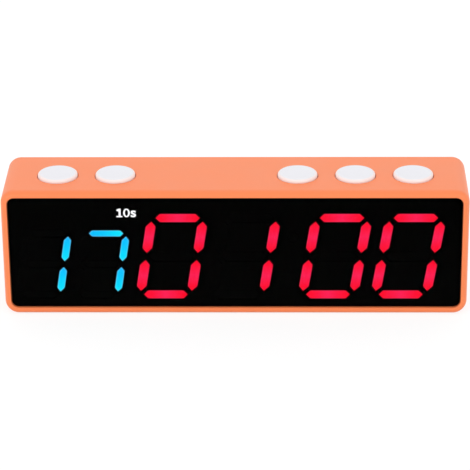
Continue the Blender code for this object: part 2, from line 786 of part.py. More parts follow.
def button_holes():
    """The five holes in the top, with a small chamfer round each."""
    radius = BUTTON_DIAMETER / 2 + FIT
    profile = [
        (0, INSIDE_TOP - FIT),
        (radius, INSIDE_TOP - FIT),
        (radius, CASE_TOP - HOLE_CHAMFER),
        (radius + 2 * HOLE_CHAMFER, CASE_TOP + HOLE_CHAMFER),
        (0, CASE_TOP + HOLE_CHAMFER),
    ]
    shape = bmesh.new()
    for x in BUTTON_X:
        add_turned(shape, profile, "Z", (x, BUTTON_Y), HOLE_STEPS)
    return shape


def main_case():
    """The orange casing: front lip, top, bottom and sides in one piece, open at the back."""
    case = finish("main_case", casing_block(), paint("orange_shell"))
    shape = bmesh.new()
    cavity = rounded_outline(-INSIDE_HALF, INSIDE_HALF, WALL, INSIDE_TOP, CASE_CORNER - WALL)
    add_prism(shape, cavity, "Y", RAIL_BACK, BACK + WALL)
    cut(case, shape)
    cut(case, window_cut())
    shape = bmesh.new()
    gap = rounded_outline(-OPENING_HALF, OPENING_HALF, MASK_BOTTOM - FIT, MASK_TOP + FIT, MASK_CORNER + FIT)
    add_prism(shape, gap, "Y", RAIL_FRONT - RAIL_THICKNESS / 2, RAIL_BACK + RAIL_THICKNESS / 2)
    cut(case, shape)
    join(case, case_fittings())
    cut(case, button_holes())
    cut(case, case_holes())


# Window and display


def window():
    """The smoked window and the two adhesive strips behind it."""
    shape = bmesh.new()
    add_prism(shape, window_outline(-FIT), "Y", PANEL_FRONT, PANEL_BACK)
    finish("window_panel", shape, paint("smoked_window"))
    half = OPENING_HALF - TAPE_END
    tape = paint("foam")
    limits = ((BEZEL_BOTTOM + FIT, MASK_BOTTOM - 2 * FIT), (MASK_TOP + 2 * FIT, OPENING_TOP - FIT))
    for name, height in zip(("window_tape_lower", "window_tape_upper"), limits):
        shape = bmesh.new()
        add_box(shape, (-half, half), (TAPE_FRONT, TAPE_BACK), height)
        finish(name, shape, tape)


def digit_mask():
    """The black housing that keeps the light of one stroke out of the next."""
    shape = bmesh.new()
    front = rounded_outline(-MASK_HALF, MASK_HALF, MASK_BOTTOM, MASK_TOP, MASK_CORNER, CORNER_STEPS // 2)
    add_prism(shape, front, "Y", MASK_FRONT, MASK_FRONT + MASK_FLANGE)
    mask = finish("digit_mask", shape, paint("mask_black"))
    shape = bmesh.new()
    body = rounded_outline(-MASK_HALF, MASK_HALF, MASK_BOTTOM, BODY_TOP, MASK_CORNER, CORNER_STEPS // 2)
    add_prism(shape, body, "Y", MASK_FRONT + MASK_FLANGE / 2, MASK_BACK)
    join(mask, shape)
    shape = bmesh.new()
    for (left, right), (bottom, top), _ in display_pillars():
        x, z = (left - NOTCH_GAP, right + NOTCH_GAP), (bottom - NOTCH_GAP, top + NOTCH_GAP)
        add_box(shape, x, (RAIL_BACK - WALL / 2 - NOTCH_GAP, MASK_BACK + NOTCH_GAP), z)
    cut(mask, shape)
    shape = bmesh.new()
    through = (MASK_FRONT - FIT, MASK_BACK + FIT)
    blue = [outline for number in range(len(BLUE_X)) for outline in blue_strokes(number)]
    red = [outline for number in range(len(RED_X)) for outline in red_strokes(number)]
    for outline in blue + red:
        add_prism(shape, grown(outline, FIT), "Y", *through)
    for centre in colon_centres():
        add_pin(shape, COLON_DOT + 2 * FIT, "Y", centre, *through, 2 * SMALL_STEPS)
    left, right, bottom, top = legend_limits()
    add_box(shape, (left - FIT, right + FIT), through, (bottom - FIT, top + FIT))
    cut(mask, shape)


def led_places():
    """Where the light-emitting chips sit on the display board: one behind each stroke, dot and legend."""
    places = [centre_of(outline) for number in range(len(BLUE_X)) for outline in blue_strokes(number)]
    places += [centre_of(outline) for number in range(len(RED_X)) for outline in red_strokes(number)]
    left, right, bottom, top = legend_limits()
    return places + colon_centres() + [((left + right) / 2, (bottom + top) / 2)]


def display_board():
    """The board behind the figures with its light-emitting chips and plugs, its drivers and its screws."""
    shape = bmesh.new()
    outline = rounded_outline(-MASK_HALF, MASK_HALF, MASK_BOTTOM, BODY_TOP, MASK_CORNER, CORNER_STEPS // 2)
    add_prism(shape, outline, "Y", BOARD_FRONT, BOARD_BACK)
    board = finish("display_board", shape, paint("board_green"))
    middle = (BOARD_FRONT + BOARD_BACK) / 2
    shape = bmesh.new()
    for x, z in led_places():
        add_box(shape, around(x, LED_LENGTH), (BOARD_FRONT - LED_HEIGHT, middle), around(z, LED_WIDTH))
    join(board, shape)
    shape = bmesh.new()
    for x, z in ((BUTTON_PLUG_X, BUTTON_PLUG_Z), (POWER_PLUG_X, POWER_PLUG_Z)):
        width, height = around(x, RIBBON_WIDTH + PLUG_RIM), around(z, PLUG_HEIGHT)
        add_box(shape, width, (middle, BOARD_BACK + PLUG_RISE), height)
    join(board, shape)
    shape = bmesh.new()
    for _, _, centre in display_pillars():
        add_pin(shape, SCREW_SHANK + 2 * FIT, "Y", centre, BOARD_FRONT - FIT, BOARD_BACK + FIT)
    cut(board, shape)
    back = BOARD_BACK + FIT
    black = paint("dark_plastic")
    for name, x, (width, height, rise) in (
        ("controller_chip", CONTROLLER_X, CONTROLLER_SIZE),
        ("driver_chip_left", DRIVER_LEFT_X, DRIVER_SIZE),
        ("driver_chip_right", DRIVER_RIGHT_X, DRIVER_SIZE),
    ):
        shape = bmesh.new()
        add_box(shape, around(x, width), (back, back + rise), around(CHIP_Z, height))
        finish(name, shape, black)
    steel = paint("steel")
    screws("display_screw", steel, "Y", [centre for _, _, centre in display_pillars()], BOARD_BACK + FIT, -1)


# Buttons


def button_profile():
    """Half the section of a button cap, from the middle of its underside to the middle of its dished top."""
    radius, top = BUTTON_DIAMETER / 2, CASE_TOP + BUTTON_PROUD
    ceiling = CASE_TOP + BUTTON_PROUD - BUTTON_DISH - BUTTON_WALL
    stem_end = FLANGE_BOTTOM - BUTTON_TRAVEL
    profile = [
        (0, stem_end),
        (BUTTON_STEM / 2, stem_end),
        (BUTTON_STEM / 2, ceiling),
        (radius - BUTTON_WALL, ceiling),
        (radius - BUTTON_WALL, FLANGE_BOTTOM),
        (radius + FLANGE_LIP, FLANGE_BOTTOM),
        (radius + FLANGE_LIP, FLANGE_TOP),
        (radius, FLANGE_TOP),
    ]
    for i in range(3):
        turn = math.pi / 2 * i / 2
        inset, drop = BUTTON_EDGE * (1 - math.cos(turn)), BUTTON_EDGE * (1 - math.sin(turn))
        profile.append((radius - inset, top - drop))
    dish = radius - BUTTON_EDGE - BUTTON_DISH_EDGE
    return [*profile, (dish, top - BUTTON_DISH), (0, top - BUTTON_DISH)]


def buttons():
    """The five caps, each with the plunger that it pushes, the switches and the board that they stand on."""
    cap_paint = paint("cap_white")
    plunger_paint = paint("dark_plastic")
    cap = [(radius, height - CASE_TOP) for radius, height in button_profile()]
    for number, x in enumerate(BUTTON_X, start=1):
        origin = (x, BUTTON_Y, CASE_TOP)
        shape = bmesh.new()
        add_turned(shape, cap, "Z", (0, 0), HOLE_STEPS)
        finish(f"button_cap_{number}", shape, cap_paint, origin)
        shape = bmesh.new()
        low = SWITCH_TOP - PLUNGER_SUNK - CASE_TOP
        high = SWITCH_TOP + PLUNGER_PROUD - CASE_TOP
        add_pin(shape, PLUNGER_DIAMETER, "Z", (0, 0), low, high, 2 * SMALL_STEPS)
        finish(f"switch_plunger_{number}", shape, plunger_paint, origin)
    switch_paint = paint("steel")
    floor = SWITCH_TOP - PLUNGER_SUNK - BUTTON_TRAVEL - FIT
    for number, x in enumerate(BUTTON_X, start=1):
        shape = bmesh.new()
        add_box(shape, around(x, SWITCH_SIDE), around(BUTTON_Y, SWITCH_SIDE), (SWITCH_BOTTOM, SWITCH_TOP))
        switch = finish(f"switch_body_{number}", shape, switch_paint)
        shape = bmesh.new()
        bore = PLUNGER_DIAMETER + 2 * FIT
        add_pin(shape, bore, "Z", (x, BUTTON_Y), floor, SWITCH_TOP + FIT, 2 * SMALL_STEPS)
        cut(switch, shape)


def button_board():
    """The strip of circuit board under the buttons, with its screws."""
    half = INSIDE_HALF - BUTTON_BOARD_END
    front = BOARD_BACK + 2 * FIT
    shape = bmesh.new()
    outline = rounded_outline(-half, half, front, front + BUTTON_BOARD_DEPTH, MASK_CORNER, CORNER_STEPS // 2)
    add_prism(shape, outline, "Z", BUTTON_BOARD_BOTTOM, BUTTON_BOARD_TOP)
    board = finish("button_board", shape, paint("board_green"))
    shape = bmesh.new()
    for centre in button_board_screw_places():
        add_pin(shape, SCREW_SHANK + 2 * FIT, "Z", centre, BUTTON_BOARD_BOTTOM - FIT, BUTTON_BOARD_TOP + FIT)
    cut(board, shape)
    steel = paint("steel")
    screws("button_board_screw", steel, "Z", button_board_screw_places(), BUTTON_BOARD_BOTTOM - FIT, 1)


# Leads and ribbons


def smooth_route(points, step):
    """Points at even steps along a smooth curve through a route's own points."""
    ends = [points[0], *points, points[-1]]
    route = []
    for before, start, end, after in zip(ends, ends[1:], ends[2:], ends[3:]):
        count = max(1, round(math.dist(start, end) / step))
        for i in range(count):
            t = i / count
            point = []
            for a, b, c, d in zip(before, start, end, after):
                bend = (2 * a - 5 * b + 4 * c - d) * t**2 + (3 * b - a - 3 * c + d) * t**3
                point.append(b + ((c - a) * t + bend) / 2)
            route.append(tuple(point))
    return [*route, points[-1]]


def lead(name, points, diameter, material):
    """A round wire along a route."""
    curve = bpy.data.curves.new(name, "CURVE")
    curve.dimensions = "3D"
    curve.bevel_depth = diameter / 2
    curve.bevel_resolution = 1
    curve.use_fill_caps = True
    route = smooth_route(points, LEAD_STEP)
    spline = curve.splines.new("POLY")
    spline.points.add(len(route) - 1)
    for knot, point in zip(spline.points, route):
        knot.co = (*point, 1.0)
    curve.materials.append(material)
    made = bpy.data.objects.new(name, curve)
    bpy.context.scene.collection.objects.link(made)


def ribbon(name, x, points, material):
    """A flat cable of many wires, bent only up and back, along a route of (back, up) points."""
    route = smooth_route(points, math.dist(points[0], points[-1]) / RIBBON_STEPS)
    half = RIBBON_THICKNESS / 2
    sides = ([], [])
    for i, (y, z) in enumerate(route):
        before, after = route[max(i - 1, 0)], route[min(i + 1, len(route) - 1)]
        length = math.dist(before, after)
        normal = ((after[1] - before[1]) / length, (before[0] - after[0]) / length)
        for side, points_there in zip((half, -half), sides):
            points_there.append((y + normal[0] * side, z + normal[1] * side))
    shape = bmesh.new()
    rings = []
    for first, second in zip(*sides):
        corners = ((x[0], first), (x[1], first), (x[1], second), (x[0], second))
        rings.append([(across, y, z) for across, (y, z) in corners])
    add_loft(shape, rings)
    finish(name, shape, material)


def ribbons():
    """The flat cables from the display board to the button board and to the power board."""
    grey = paint("ribbon_grey")
    plug_face = BOARD_BACK + PLUG_RISE + FIT
    top = BUTTON_BOARD_BOTTOM - FIT
    bend = RIBBON_BEND
    route = [
        (plug_face, BUTTON_PLUG_Z),
        (plug_face + bend, BUTTON_PLUG_Z),
        (plug_face + 2 * bend, BUTTON_PLUG_Z + bend / 2),
        (plug_face + 2 * bend, top - bend / 2),
        (plug_face + 2 * bend, top),
    ]
    ribbon("button_cable", around(BUTTON_PLUG_X, RIBBON_WIDTH), route, grey)
    low = POWER_TOP + FIT
    route = [
        (plug_face, POWER_PLUG_Z),
        (plug_face + bend, POWER_PLUG_Z),
        (plug_face + 1.6 * bend, POWER_PLUG_Z - bend),
        (plug_face + 1.6 * bend, low + bend / 2),
        (plug_face + 1.6 * bend, low),
    ]
    ribbon("power_cable", around(POWER_PLUG_X, RIBBON_WIDTH), route, grey)


# Cell


def along_route(start, end, *shares):
    """The point at a share of the way from a start to an end, with a share for each axis."""
    return tuple(low + (high - low) * share for low, high, share in zip(start, end, shares))


def battery():
    """The rechargeable cell with its end tabs, foam pads, leads and plug."""
    radius = CELL_DIAMETER / 2
    nub = radius / 3
    profile = [
        (0, CELL_LEFT),
        (radius - CELL_CAP, CELL_LEFT),
        (radius, CELL_LEFT + CELL_CAP),
        (radius, CELL_RIGHT - 2 * CELL_CAP),
        (radius - CELL_CAP, CELL_RIGHT - CELL_CAP),
        (nub, CELL_RIGHT - CELL_CAP),
        (nub, CELL_RIGHT),
        (0, CELL_RIGHT),
    ]
    shape = bmesh.new()
    add_turned(shape, profile, "X", (CELL_Y, CELL_Z), HOLE_STEPS)
    cell = finish("battery_cell", shape, paint("cell_sleeve"))
    shape = bmesh.new()
    for x in ((CELL_LEFT - TAB_THICKNESS, CELL_LEFT + FIT), (CELL_RIGHT - FIT, CELL_RIGHT + TAB_THICKNESS)):
        add_box(shape, x, around(CELL_Y, TAB_SIZE), around(CELL_Z, TAB_SIZE))
    join(cell, shape)
    shape = bmesh.new()
    pad = (CELL_Y + radius + FIT, COVER_FRONT - FIT)
    low = WALL + CELL_LIFT + CRADLE_RISE + FIT
    add_box(shape, around((CELL_LEFT + CELL_RIGHT) / 2, PAD_LENGTH), pad, (low, low + PAD_HEIGHT))
    finish("battery_pad", shape, paint("foam"))
    shape = bmesh.new()
    add_box(shape, PLUG_X, PLUG_Y, (POWER_TOP + FIT, POWER_TOP + FIT + PLUG_TALL))
    finish("battery_plug", shape, paint("plug_white"))
    tab = CELL_RIGHT + TAB_THICKNESS + FIT
    entry = PLUG_X[0] - FIT
    height = POWER_TOP + FIT + PLUG_TALL / 2
    run = 2.14 * CELL_LEAD
    leave = (tab, CELL_Y, CELL_Z)
    enter = (entry, PLUG_Y[0] + 0.69 * (PLUG_Y[1] - PLUG_Y[0]), height)
    red = [
        leave,
        (tab + run, CELL_Y, CELL_Z + FIT),
        along_route(leave, enter, 0.245, 0.405, -0.556),
        along_route(leave, enter, 0.553, 1.165, -0.370),
        along_route(leave, enter, 0.817, 1.519, 0.630),
        (entry - run, enter[1], height),
        enter,
    ]
    lead("battery_lead_red", red, CELL_LEAD, paint("lead_red"))
    start = CELL_LEFT - TAB_THICKNESS - FIT
    over = CELL_Z + radius + CELL_LEAD / 2 + 2 * FIT
    leave = (CELL_RIGHT, CELL_Y, over)
    enter = (entry, PLUG_Y[0] + 0.31 * (PLUG_Y[1] - PLUG_Y[0]), height)
    black = [
        (start, CELL_Y, CELL_Z),
        (start - 1.57 * CELL_LEAD, CELL_Y, CELL_Z + 0.57 * CELL_LEAD),
        (start - 1.86 * CELL_LEAD, CELL_Y, over - 2.86 * CELL_LEAD),
        (start - 0.43 * CELL_LEAD, CELL_Y, over - 0.14 * CELL_LEAD),
        (CELL_LEFT + 3.57 * CELL_LEAD, CELL_Y, over),
        (CELL_LEFT + CELL_LENGTH / 2, CELL_Y, over),
        (CELL_RIGHT - 3.57 * CELL_LEAD, CELL_Y, over),
        (CELL_RIGHT + 4.29 * CELL_LEAD, CELL_Y - CELL_LEAD, over - 1.57 * CELL_LEAD),
        along_route(leave, enter, 0.430, 0.846, 0.417),
        along_route(leave, enter, 0.755, 1.333, 0.849),
        (entry - run, enter[1], height),
        enter,
    ]
    lead("battery_lead_black", black, CELL_LEAD, paint("lead_black"))


# Power board and socket


def power_board():
    """The charging board with its chips, screws and socket."""
    shape = bmesh.new()
    right = POWER_LEFT + POWER_WIDTH
    outline = rounded_outline(POWER_LEFT, right, POWER_FRONT, POWER_BACK, MASK_CORNER, CORNER_STEPS // 2)
    add_prism(shape, outline, "Z", POWER_BOTTOM, POWER_TOP)
    board = finish("power_board", shape, paint("board_green"))
    shape = bmesh.new()
    low = POWER_BOTTOM + SMALL_BOARD_THICKNESS / 2
    for x, (width, depth, rise) in zip(POWER_CHIP_X, POWER_CHIP_SIZES):
        y = around(POWER_FRONT + POWER_CHIP_Y, depth)
        add_box(shape, around(POWER_LEFT + x, width), y, (low, POWER_TOP + rise))
    join(board, shape)
    shape = bmesh.new()
    for centre in power_posts():
        add_pin(shape, SCREW_SHANK + 2 * FIT, "Z", centre, POWER_BOTTOM - FIT, POWER_TOP + FIT)
    cut(board, shape)
    steel = paint("steel")
    screws("power_board_screw", steel, "Z", power_posts(), POWER_TOP + FIT, -1)
    charging_socket()


def socket_outline(grow, steps=3):
    """The rounded outline of the charging socket, made larger by a given amount."""
    left, right = around(SOCKET_X, SOCKET_WIDTH + 2 * grow)
    bottom, top = around(SOCKET_Z, SOCKET_HEIGHT + 2 * grow)
    return rounded_outline(left, right, bottom, top, SOCKET_CORNER + grow, steps)


def charging_socket():
    """The steel shell of the socket and the tongue inside it."""
    shape = bmesh.new()
    add_prism(shape, socket_outline(0.0), "Y", SOCKET_FRONT, SOCKET_BACK)
    shell = finish("usb_shell", shape, paint("steel"))
    shape = bmesh.new()
    hollow = (SOCKET_FRONT + SOCKET_WALL, SOCKET_BACK + SOCKET_WALL)
    add_prism(shape, socket_outline(-SOCKET_WALL), "Y", *hollow)
    cut(shell, shape)
    shape = bmesh.new()
    base = SOCKET_FRONT + SOCKET_WALL + FIT
    add_prism(shape, socket_outline(-SOCKET_WALL - FIT), "Y", base, base + SOCKET_BASE)
    tongue = finish("usb_tongue", shape, paint("dark_plastic"))
    shape = bmesh.new()
    blade = (base + SOCKET_BASE / 2, SOCKET_BACK - TONGUE_SHORT)
    add_box(shape, around(SOCKET_X, TONGUE_WIDTH), blade, around(SOCKET_Z, TONGUE_HEIGHT))
    join(tongue, shape)


# Sounder


def buzzer():
    """The sounder behind the holes in the cover, and its two leads."""
    radius = BUZZER_DIAMETER / 2
    shape = bmesh.new()
    profile = [
        (0, BUZZER_FRONT),
        (radius - CELL_CAP, BUZZER_FRONT),
        (radius, BUZZER_FRONT + CELL_CAP),
        (radius, COVER_FRONT - FIT),
        (0, COVER_FRONT - FIT),
    ]
    add_turned(shape, profile, "Y", (BUZZER_X, BUZZER_Z), 2 * SMALL_STEPS)
    finish("buzzer", shape, paint("dark_plastic"))
    entry = BUZZER_FRONT - FIT
    end = POWER_TOP + FIT
    for side, color in ((-1, "red"), (1, "black")):
        shift = side * BUZZER_LEAD * 0.9
        x = BUZZER_X + radius / 2
        drop = POWER_LEFT + BUZZER_LEAD_DROP + shift
        y = POWER_FRONT + BUZZER_LEAD_INSET
        z = BUZZER_Z + shift
        points = [
            (x, entry, z),
            (x, entry - 3 * BUZZER_LEAD, z),
            (x + 4 * BUZZER_LEAD, entry - 6.5 * BUZZER_LEAD, z - 0.2 * BUZZER_LEAD),
            (drop - 3.6 * BUZZER_LEAD, y + BUZZER_LEAD, z - 0.6 * BUZZER_LEAD),
            (drop, y, z - 4.2 * BUZZER_LEAD),
            (drop, y, end + 3 * BUZZER_LEAD),
            (drop, y, end),
        ]
        lead(f"buzzer_lead_{color}", points, BUZZER_LEAD, paint(f"lead_{color}"))


# Back cover


def cover_seat():
    """Where the head of a cover screw sits, measured from front to back."""
    return BACK - FIT / 2 - SCREW_HEAD_HEIGHT


def magnet_places():
    """Where the magnets sit, across and up."""
    inner, outer = MAGNET_X, MAGNET_X + MAGNET_PITCH
    return [(x, MAGNET_Z) for x in (-outer, -inner, inner, outer)]


def sound_holes():
    """The middle hole and the six round it."""
    places = [(BUZZER_X, BUZZER_Z)]
    for i in range(6):
        turn = math.pi / 3 * i
        across, up = math.cos(turn) * SOUND_HOLE_PITCH, math.sin(turn) * SOUND_HOLE_PITCH
        places.append((BUZZER_X + across, BUZZER_Z + up))
    return places


def rear_cover():
    """The plate that closes the back, with the seats of its magnets, sounder and screws."""
    shape = bmesh.new()
    half, radius = INSIDE_HALF - FIT, CASE_CORNER - WALL - FIT
    outline = rounded_outline(-half, half, WALL + FIT, INSIDE_TOP - FIT, radius)
    add_prism(shape, outline, "Y", COVER_FRONT, BACK)
    cover = finish("rear_cover", shape, paint("orange_shell"))
    shape = bmesh.new()
    cup = MAGNET_DIAMETER / 2 + FIT + MAGNET_CUP_WALL
    cup_front = BACK - MAGNET_SUNK - MAGNET_THICKNESS - FIT - MAGNET_CUP_WALL
    for centre in magnet_places():
        add_pin(shape, 2 * cup, "Y", centre, cup_front, COVER_FRONT + COVER_THICKNESS / 2, HOLE_STEPS)
    inner = BUZZER_DIAMETER / 2 + FIT
    low, high = COVER_FRONT - BUZZER_RING_HEIGHT, COVER_FRONT + COVER_THICKNESS / 2
    ring = [(inner, low), (inner + BUZZER_RING, low), (inner + BUZZER_RING, high), (inner, high)]
    add_turned(shape, ring, "Y", (BUZZER_X, BUZZER_Z), 2 * SMALL_STEPS, ring=True)
    join(cover, shape)
    shape = bmesh.new()
    floor = BACK - MAGNET_SUNK - MAGNET_THICKNESS - FIT
    for centre in magnet_places():
        add_pin(shape, MAGNET_DIAMETER + 2 * FIT, "Y", centre, floor, BACK + FIT, HOLE_STEPS)
    for centre in sound_holes():
        add_pin(shape, SOUND_HOLE, "Y", centre, COVER_FRONT - FIT, BACK + FIT)
    add_prism(shape, socket_outline(FIT), "Y", COVER_FRONT - FIT, BACK + FIT)
    seat = cover_seat() - FIT
    for _, _, centre in cover_pillars():
        shank, head = SCREW_SHANK / 2 + FIT, SCREW_HEAD / 2 + FIT
        profile = [
            (0, COVER_FRONT - FIT),
            (shank, COVER_FRONT - FIT),
            (shank, seat),
            (head, seat),
            (head, BACK + FIT),
            (0, BACK + FIT),
        ]
        add_turned(shape, profile, "Y", centre, 2 * SMALL_STEPS)
    cut(cover, shape)
    black_steel = paint("black_steel")
    screws("rear_screw", black_steel, "Y", [centre for _, _, centre in cover_pillars()], cover_seat(), -1)
    steel = paint("nickel")
    for number, centre in enumerate(magnet_places(), start=1):
        shape = bmesh.new()
        back = BACK - MAGNET_SUNK
        add_pin(shape, MAGNET_DIAMETER, "Y", centre, back - MAGNET_THICKNESS, back, HOLE_STEPS)
        finish(f"magnet_{number}", shape, steel)


def tripod_insert():
    """The brass sleeve in the underside that takes a quarter-inch camera screw."""
    outer, bore = INSERT_DIAMETER / 2, INSERT_BORE / 2
    low, high = INSERT_SUNK, INSERT_SUNK + INSERT_LENGTH
    profile = [
        (bore + INSERT_CHAMFER, low),
        (outer, low),
        (outer, high),
        (bore, high),
        (bore, low + INSERT_CHAMFER),
    ]
    shape = bmesh.new()
    add_turned(shape, profile, "Z", (0, 0), 2 * SMALL_STEPS, ring=True)
    finish("tripod_insert", shape, paint("brass"))


def main():
    """Build every piece of the timer."""
    clear_scene()
    main_case()
    window()
    digit_mask()
    light_guides()
    display_board()
    buttons()
    button_board()
    ribbons()
    battery()
    power_board()
    buzzer()
    rear_cover()
    tripod_insert()


main()
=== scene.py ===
"""Looks of a small interval timer: an orange casing, a smoked window over lit figures, and round white buttons.

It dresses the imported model, makes the fine shapes of what shows, and sets up the floor, the light and the camera.
Lengths are in metres, in the model's own frame: X to the right, Y to the back, Z up.
"""

from __future__ import annotations

import logging
import math
from collections.abc import Mapping, Sequence
from dataclasses import dataclass, field
from enum import Enum, IntEnum

import bmesh
import bpy
from mathutils import Matrix, Vector


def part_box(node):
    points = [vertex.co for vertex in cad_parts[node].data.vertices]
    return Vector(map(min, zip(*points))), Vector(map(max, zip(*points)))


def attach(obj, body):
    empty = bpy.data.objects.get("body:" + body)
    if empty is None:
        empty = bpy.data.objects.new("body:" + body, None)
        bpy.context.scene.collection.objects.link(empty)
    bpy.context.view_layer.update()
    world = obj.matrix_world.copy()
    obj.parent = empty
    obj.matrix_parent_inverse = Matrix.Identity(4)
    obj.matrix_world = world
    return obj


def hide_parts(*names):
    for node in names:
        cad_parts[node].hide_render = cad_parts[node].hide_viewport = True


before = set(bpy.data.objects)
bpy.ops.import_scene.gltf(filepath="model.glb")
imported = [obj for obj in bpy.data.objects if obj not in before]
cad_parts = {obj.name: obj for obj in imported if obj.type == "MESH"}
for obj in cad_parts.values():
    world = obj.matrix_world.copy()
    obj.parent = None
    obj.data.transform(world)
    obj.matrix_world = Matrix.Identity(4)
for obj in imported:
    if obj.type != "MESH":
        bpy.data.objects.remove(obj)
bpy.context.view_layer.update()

LOG = logging.getLogger("timer")
MM = 0.001
GAP = 0.3 * MM  # how far a cut reaches past a face, and the play left round a piece
CASING = "casing"
RUN = "stroke_run"  # the map that holds each stroke's run and rim
SHARP = 32.0  # the angle, in degrees, from which an edge is sharp

Point = tuple[float, float]
Limits = tuple[float, float]
Place = tuple[float, float, float]
Color = tuple[float, float, float]
Piece = bpy.types.Object
Tree = bpy.types.NodeTree
Value = bpy.types.NodeSocket


# Shapes


class Axis(Enum):
    """The axis along which a prism or a turned body runs."""

    X = "X"
    Y = "Y"
    Z = "Z"

    def place(self, across: float, other: float, along: float) -> Place:
        """The point at a place in the plane square to this axis and at a place on it.

        Args:
            across: The first of the two other coordinates.
            other: The second of them.
            along: The coordinate on this axis.

        Returns:
            The point.
        """
        if self is Axis.X:
            return (along, across, other)
        if self is Axis.Y:
            return (across, along, other)
        return (across, other, along)


class Carving(Enum):
    """What a tool shape does to a piece."""

    CUT = "DIFFERENCE"
    JOIN = "UNION"


class Sides(IntEnum):
    """How many sides a round body has."""

    RIVET = 16
    BORE = 20
    SMALL = 24
    PLAIN = 32
    SEAT = 40
    BOSS = 48
    CUP = 64
    DISC = 72
    CAP = 96


def spread(middle: float, size: float) -> Limits:
    """The limits that lie evenly about a middle."""
    return (middle - size / 2, middle + size / 2)


def cornered(x: Limits, z: Limits, radii: Sequence[float], steps: int) -> list[Point]:
    """The outline of a rectangle with a radius for each corner.

    Args:
        x: Its left and right.
        z: Its bottom and top.
        radii: One for each corner, from the top right round by the top left.
        steps: How many straight pieces make one round corner.

    Returns:
        The points of the outline, in order.
    """
    outline = []
    corners = ((x[1], z[1], 1, 1), (x[0], z[1], -1, 1), (x[0], z[0], -1, -1), (x[1], z[0], 1, -1))
    for number, ((edge, level, side, rise), radius) in enumerate(zip(corners, radii)):
        for i in range(steps + 1 if radius else 1):
            turn = math.pi / 2 * (number + i / steps)
            across, up = math.cos(turn) - side, math.sin(turn) - rise
            outline.append((edge + radius * across, level + radius * up))
    return outline


def rounded(x: Limits, z: Limits, radius: float, steps: int = 12) -> list[Point]:
    """The outline of a rectangle with equal round corners."""
    return cornered(x, z, (radius,) * 4, steps)


def around(low: Vector, high: Vector, by: float, radius: float, steps: int = 12) -> list[Point]:
    """The round-cornered outline of a box as seen from the front, moved outwards by an amount."""
    return rounded((low.x - by, high.x + by), (low.z - by, high.z + by), radius, steps)


def arc(middle: Point, reach: Point, start: float, end: float, steps: int) -> list[Point]:
    """The points of a round or oval arc between two angles in quarter turns, with both its ends."""
    turns = [math.pi / 2 * (start + (end - start) * i / steps) for i in range(steps + 1)]
    return [(middle[0] + reach[0] * math.cos(t), middle[1] + reach[1] * math.sin(t)) for t in turns]


def circle(middle: Point, radius: float, steps: int) -> list[Point]:
    """The points of a full circle."""
    return arc(middle, (radius, radius), 0, 4, steps)[:-1]


def stepped(level: float, points: Sequence[Point]) -> list[Point]:
    """A turned body's profile in metres, from radii and heights over a level in millimetres."""
    return [(radius * MM, level + height * MM) for radius, height in points]


def show(name: str, data: bpy.types.ID) -> Piece:
    """Put a mesh, a text, a lamp or a camera into the scene.

    Args:
        name: The new object's name.
        data: What it shows.

    Returns:
        The object.
    """
    made = bpy.data.objects.new(name, data)
    bpy.context.scene.collection.objects.link(made)
    return made


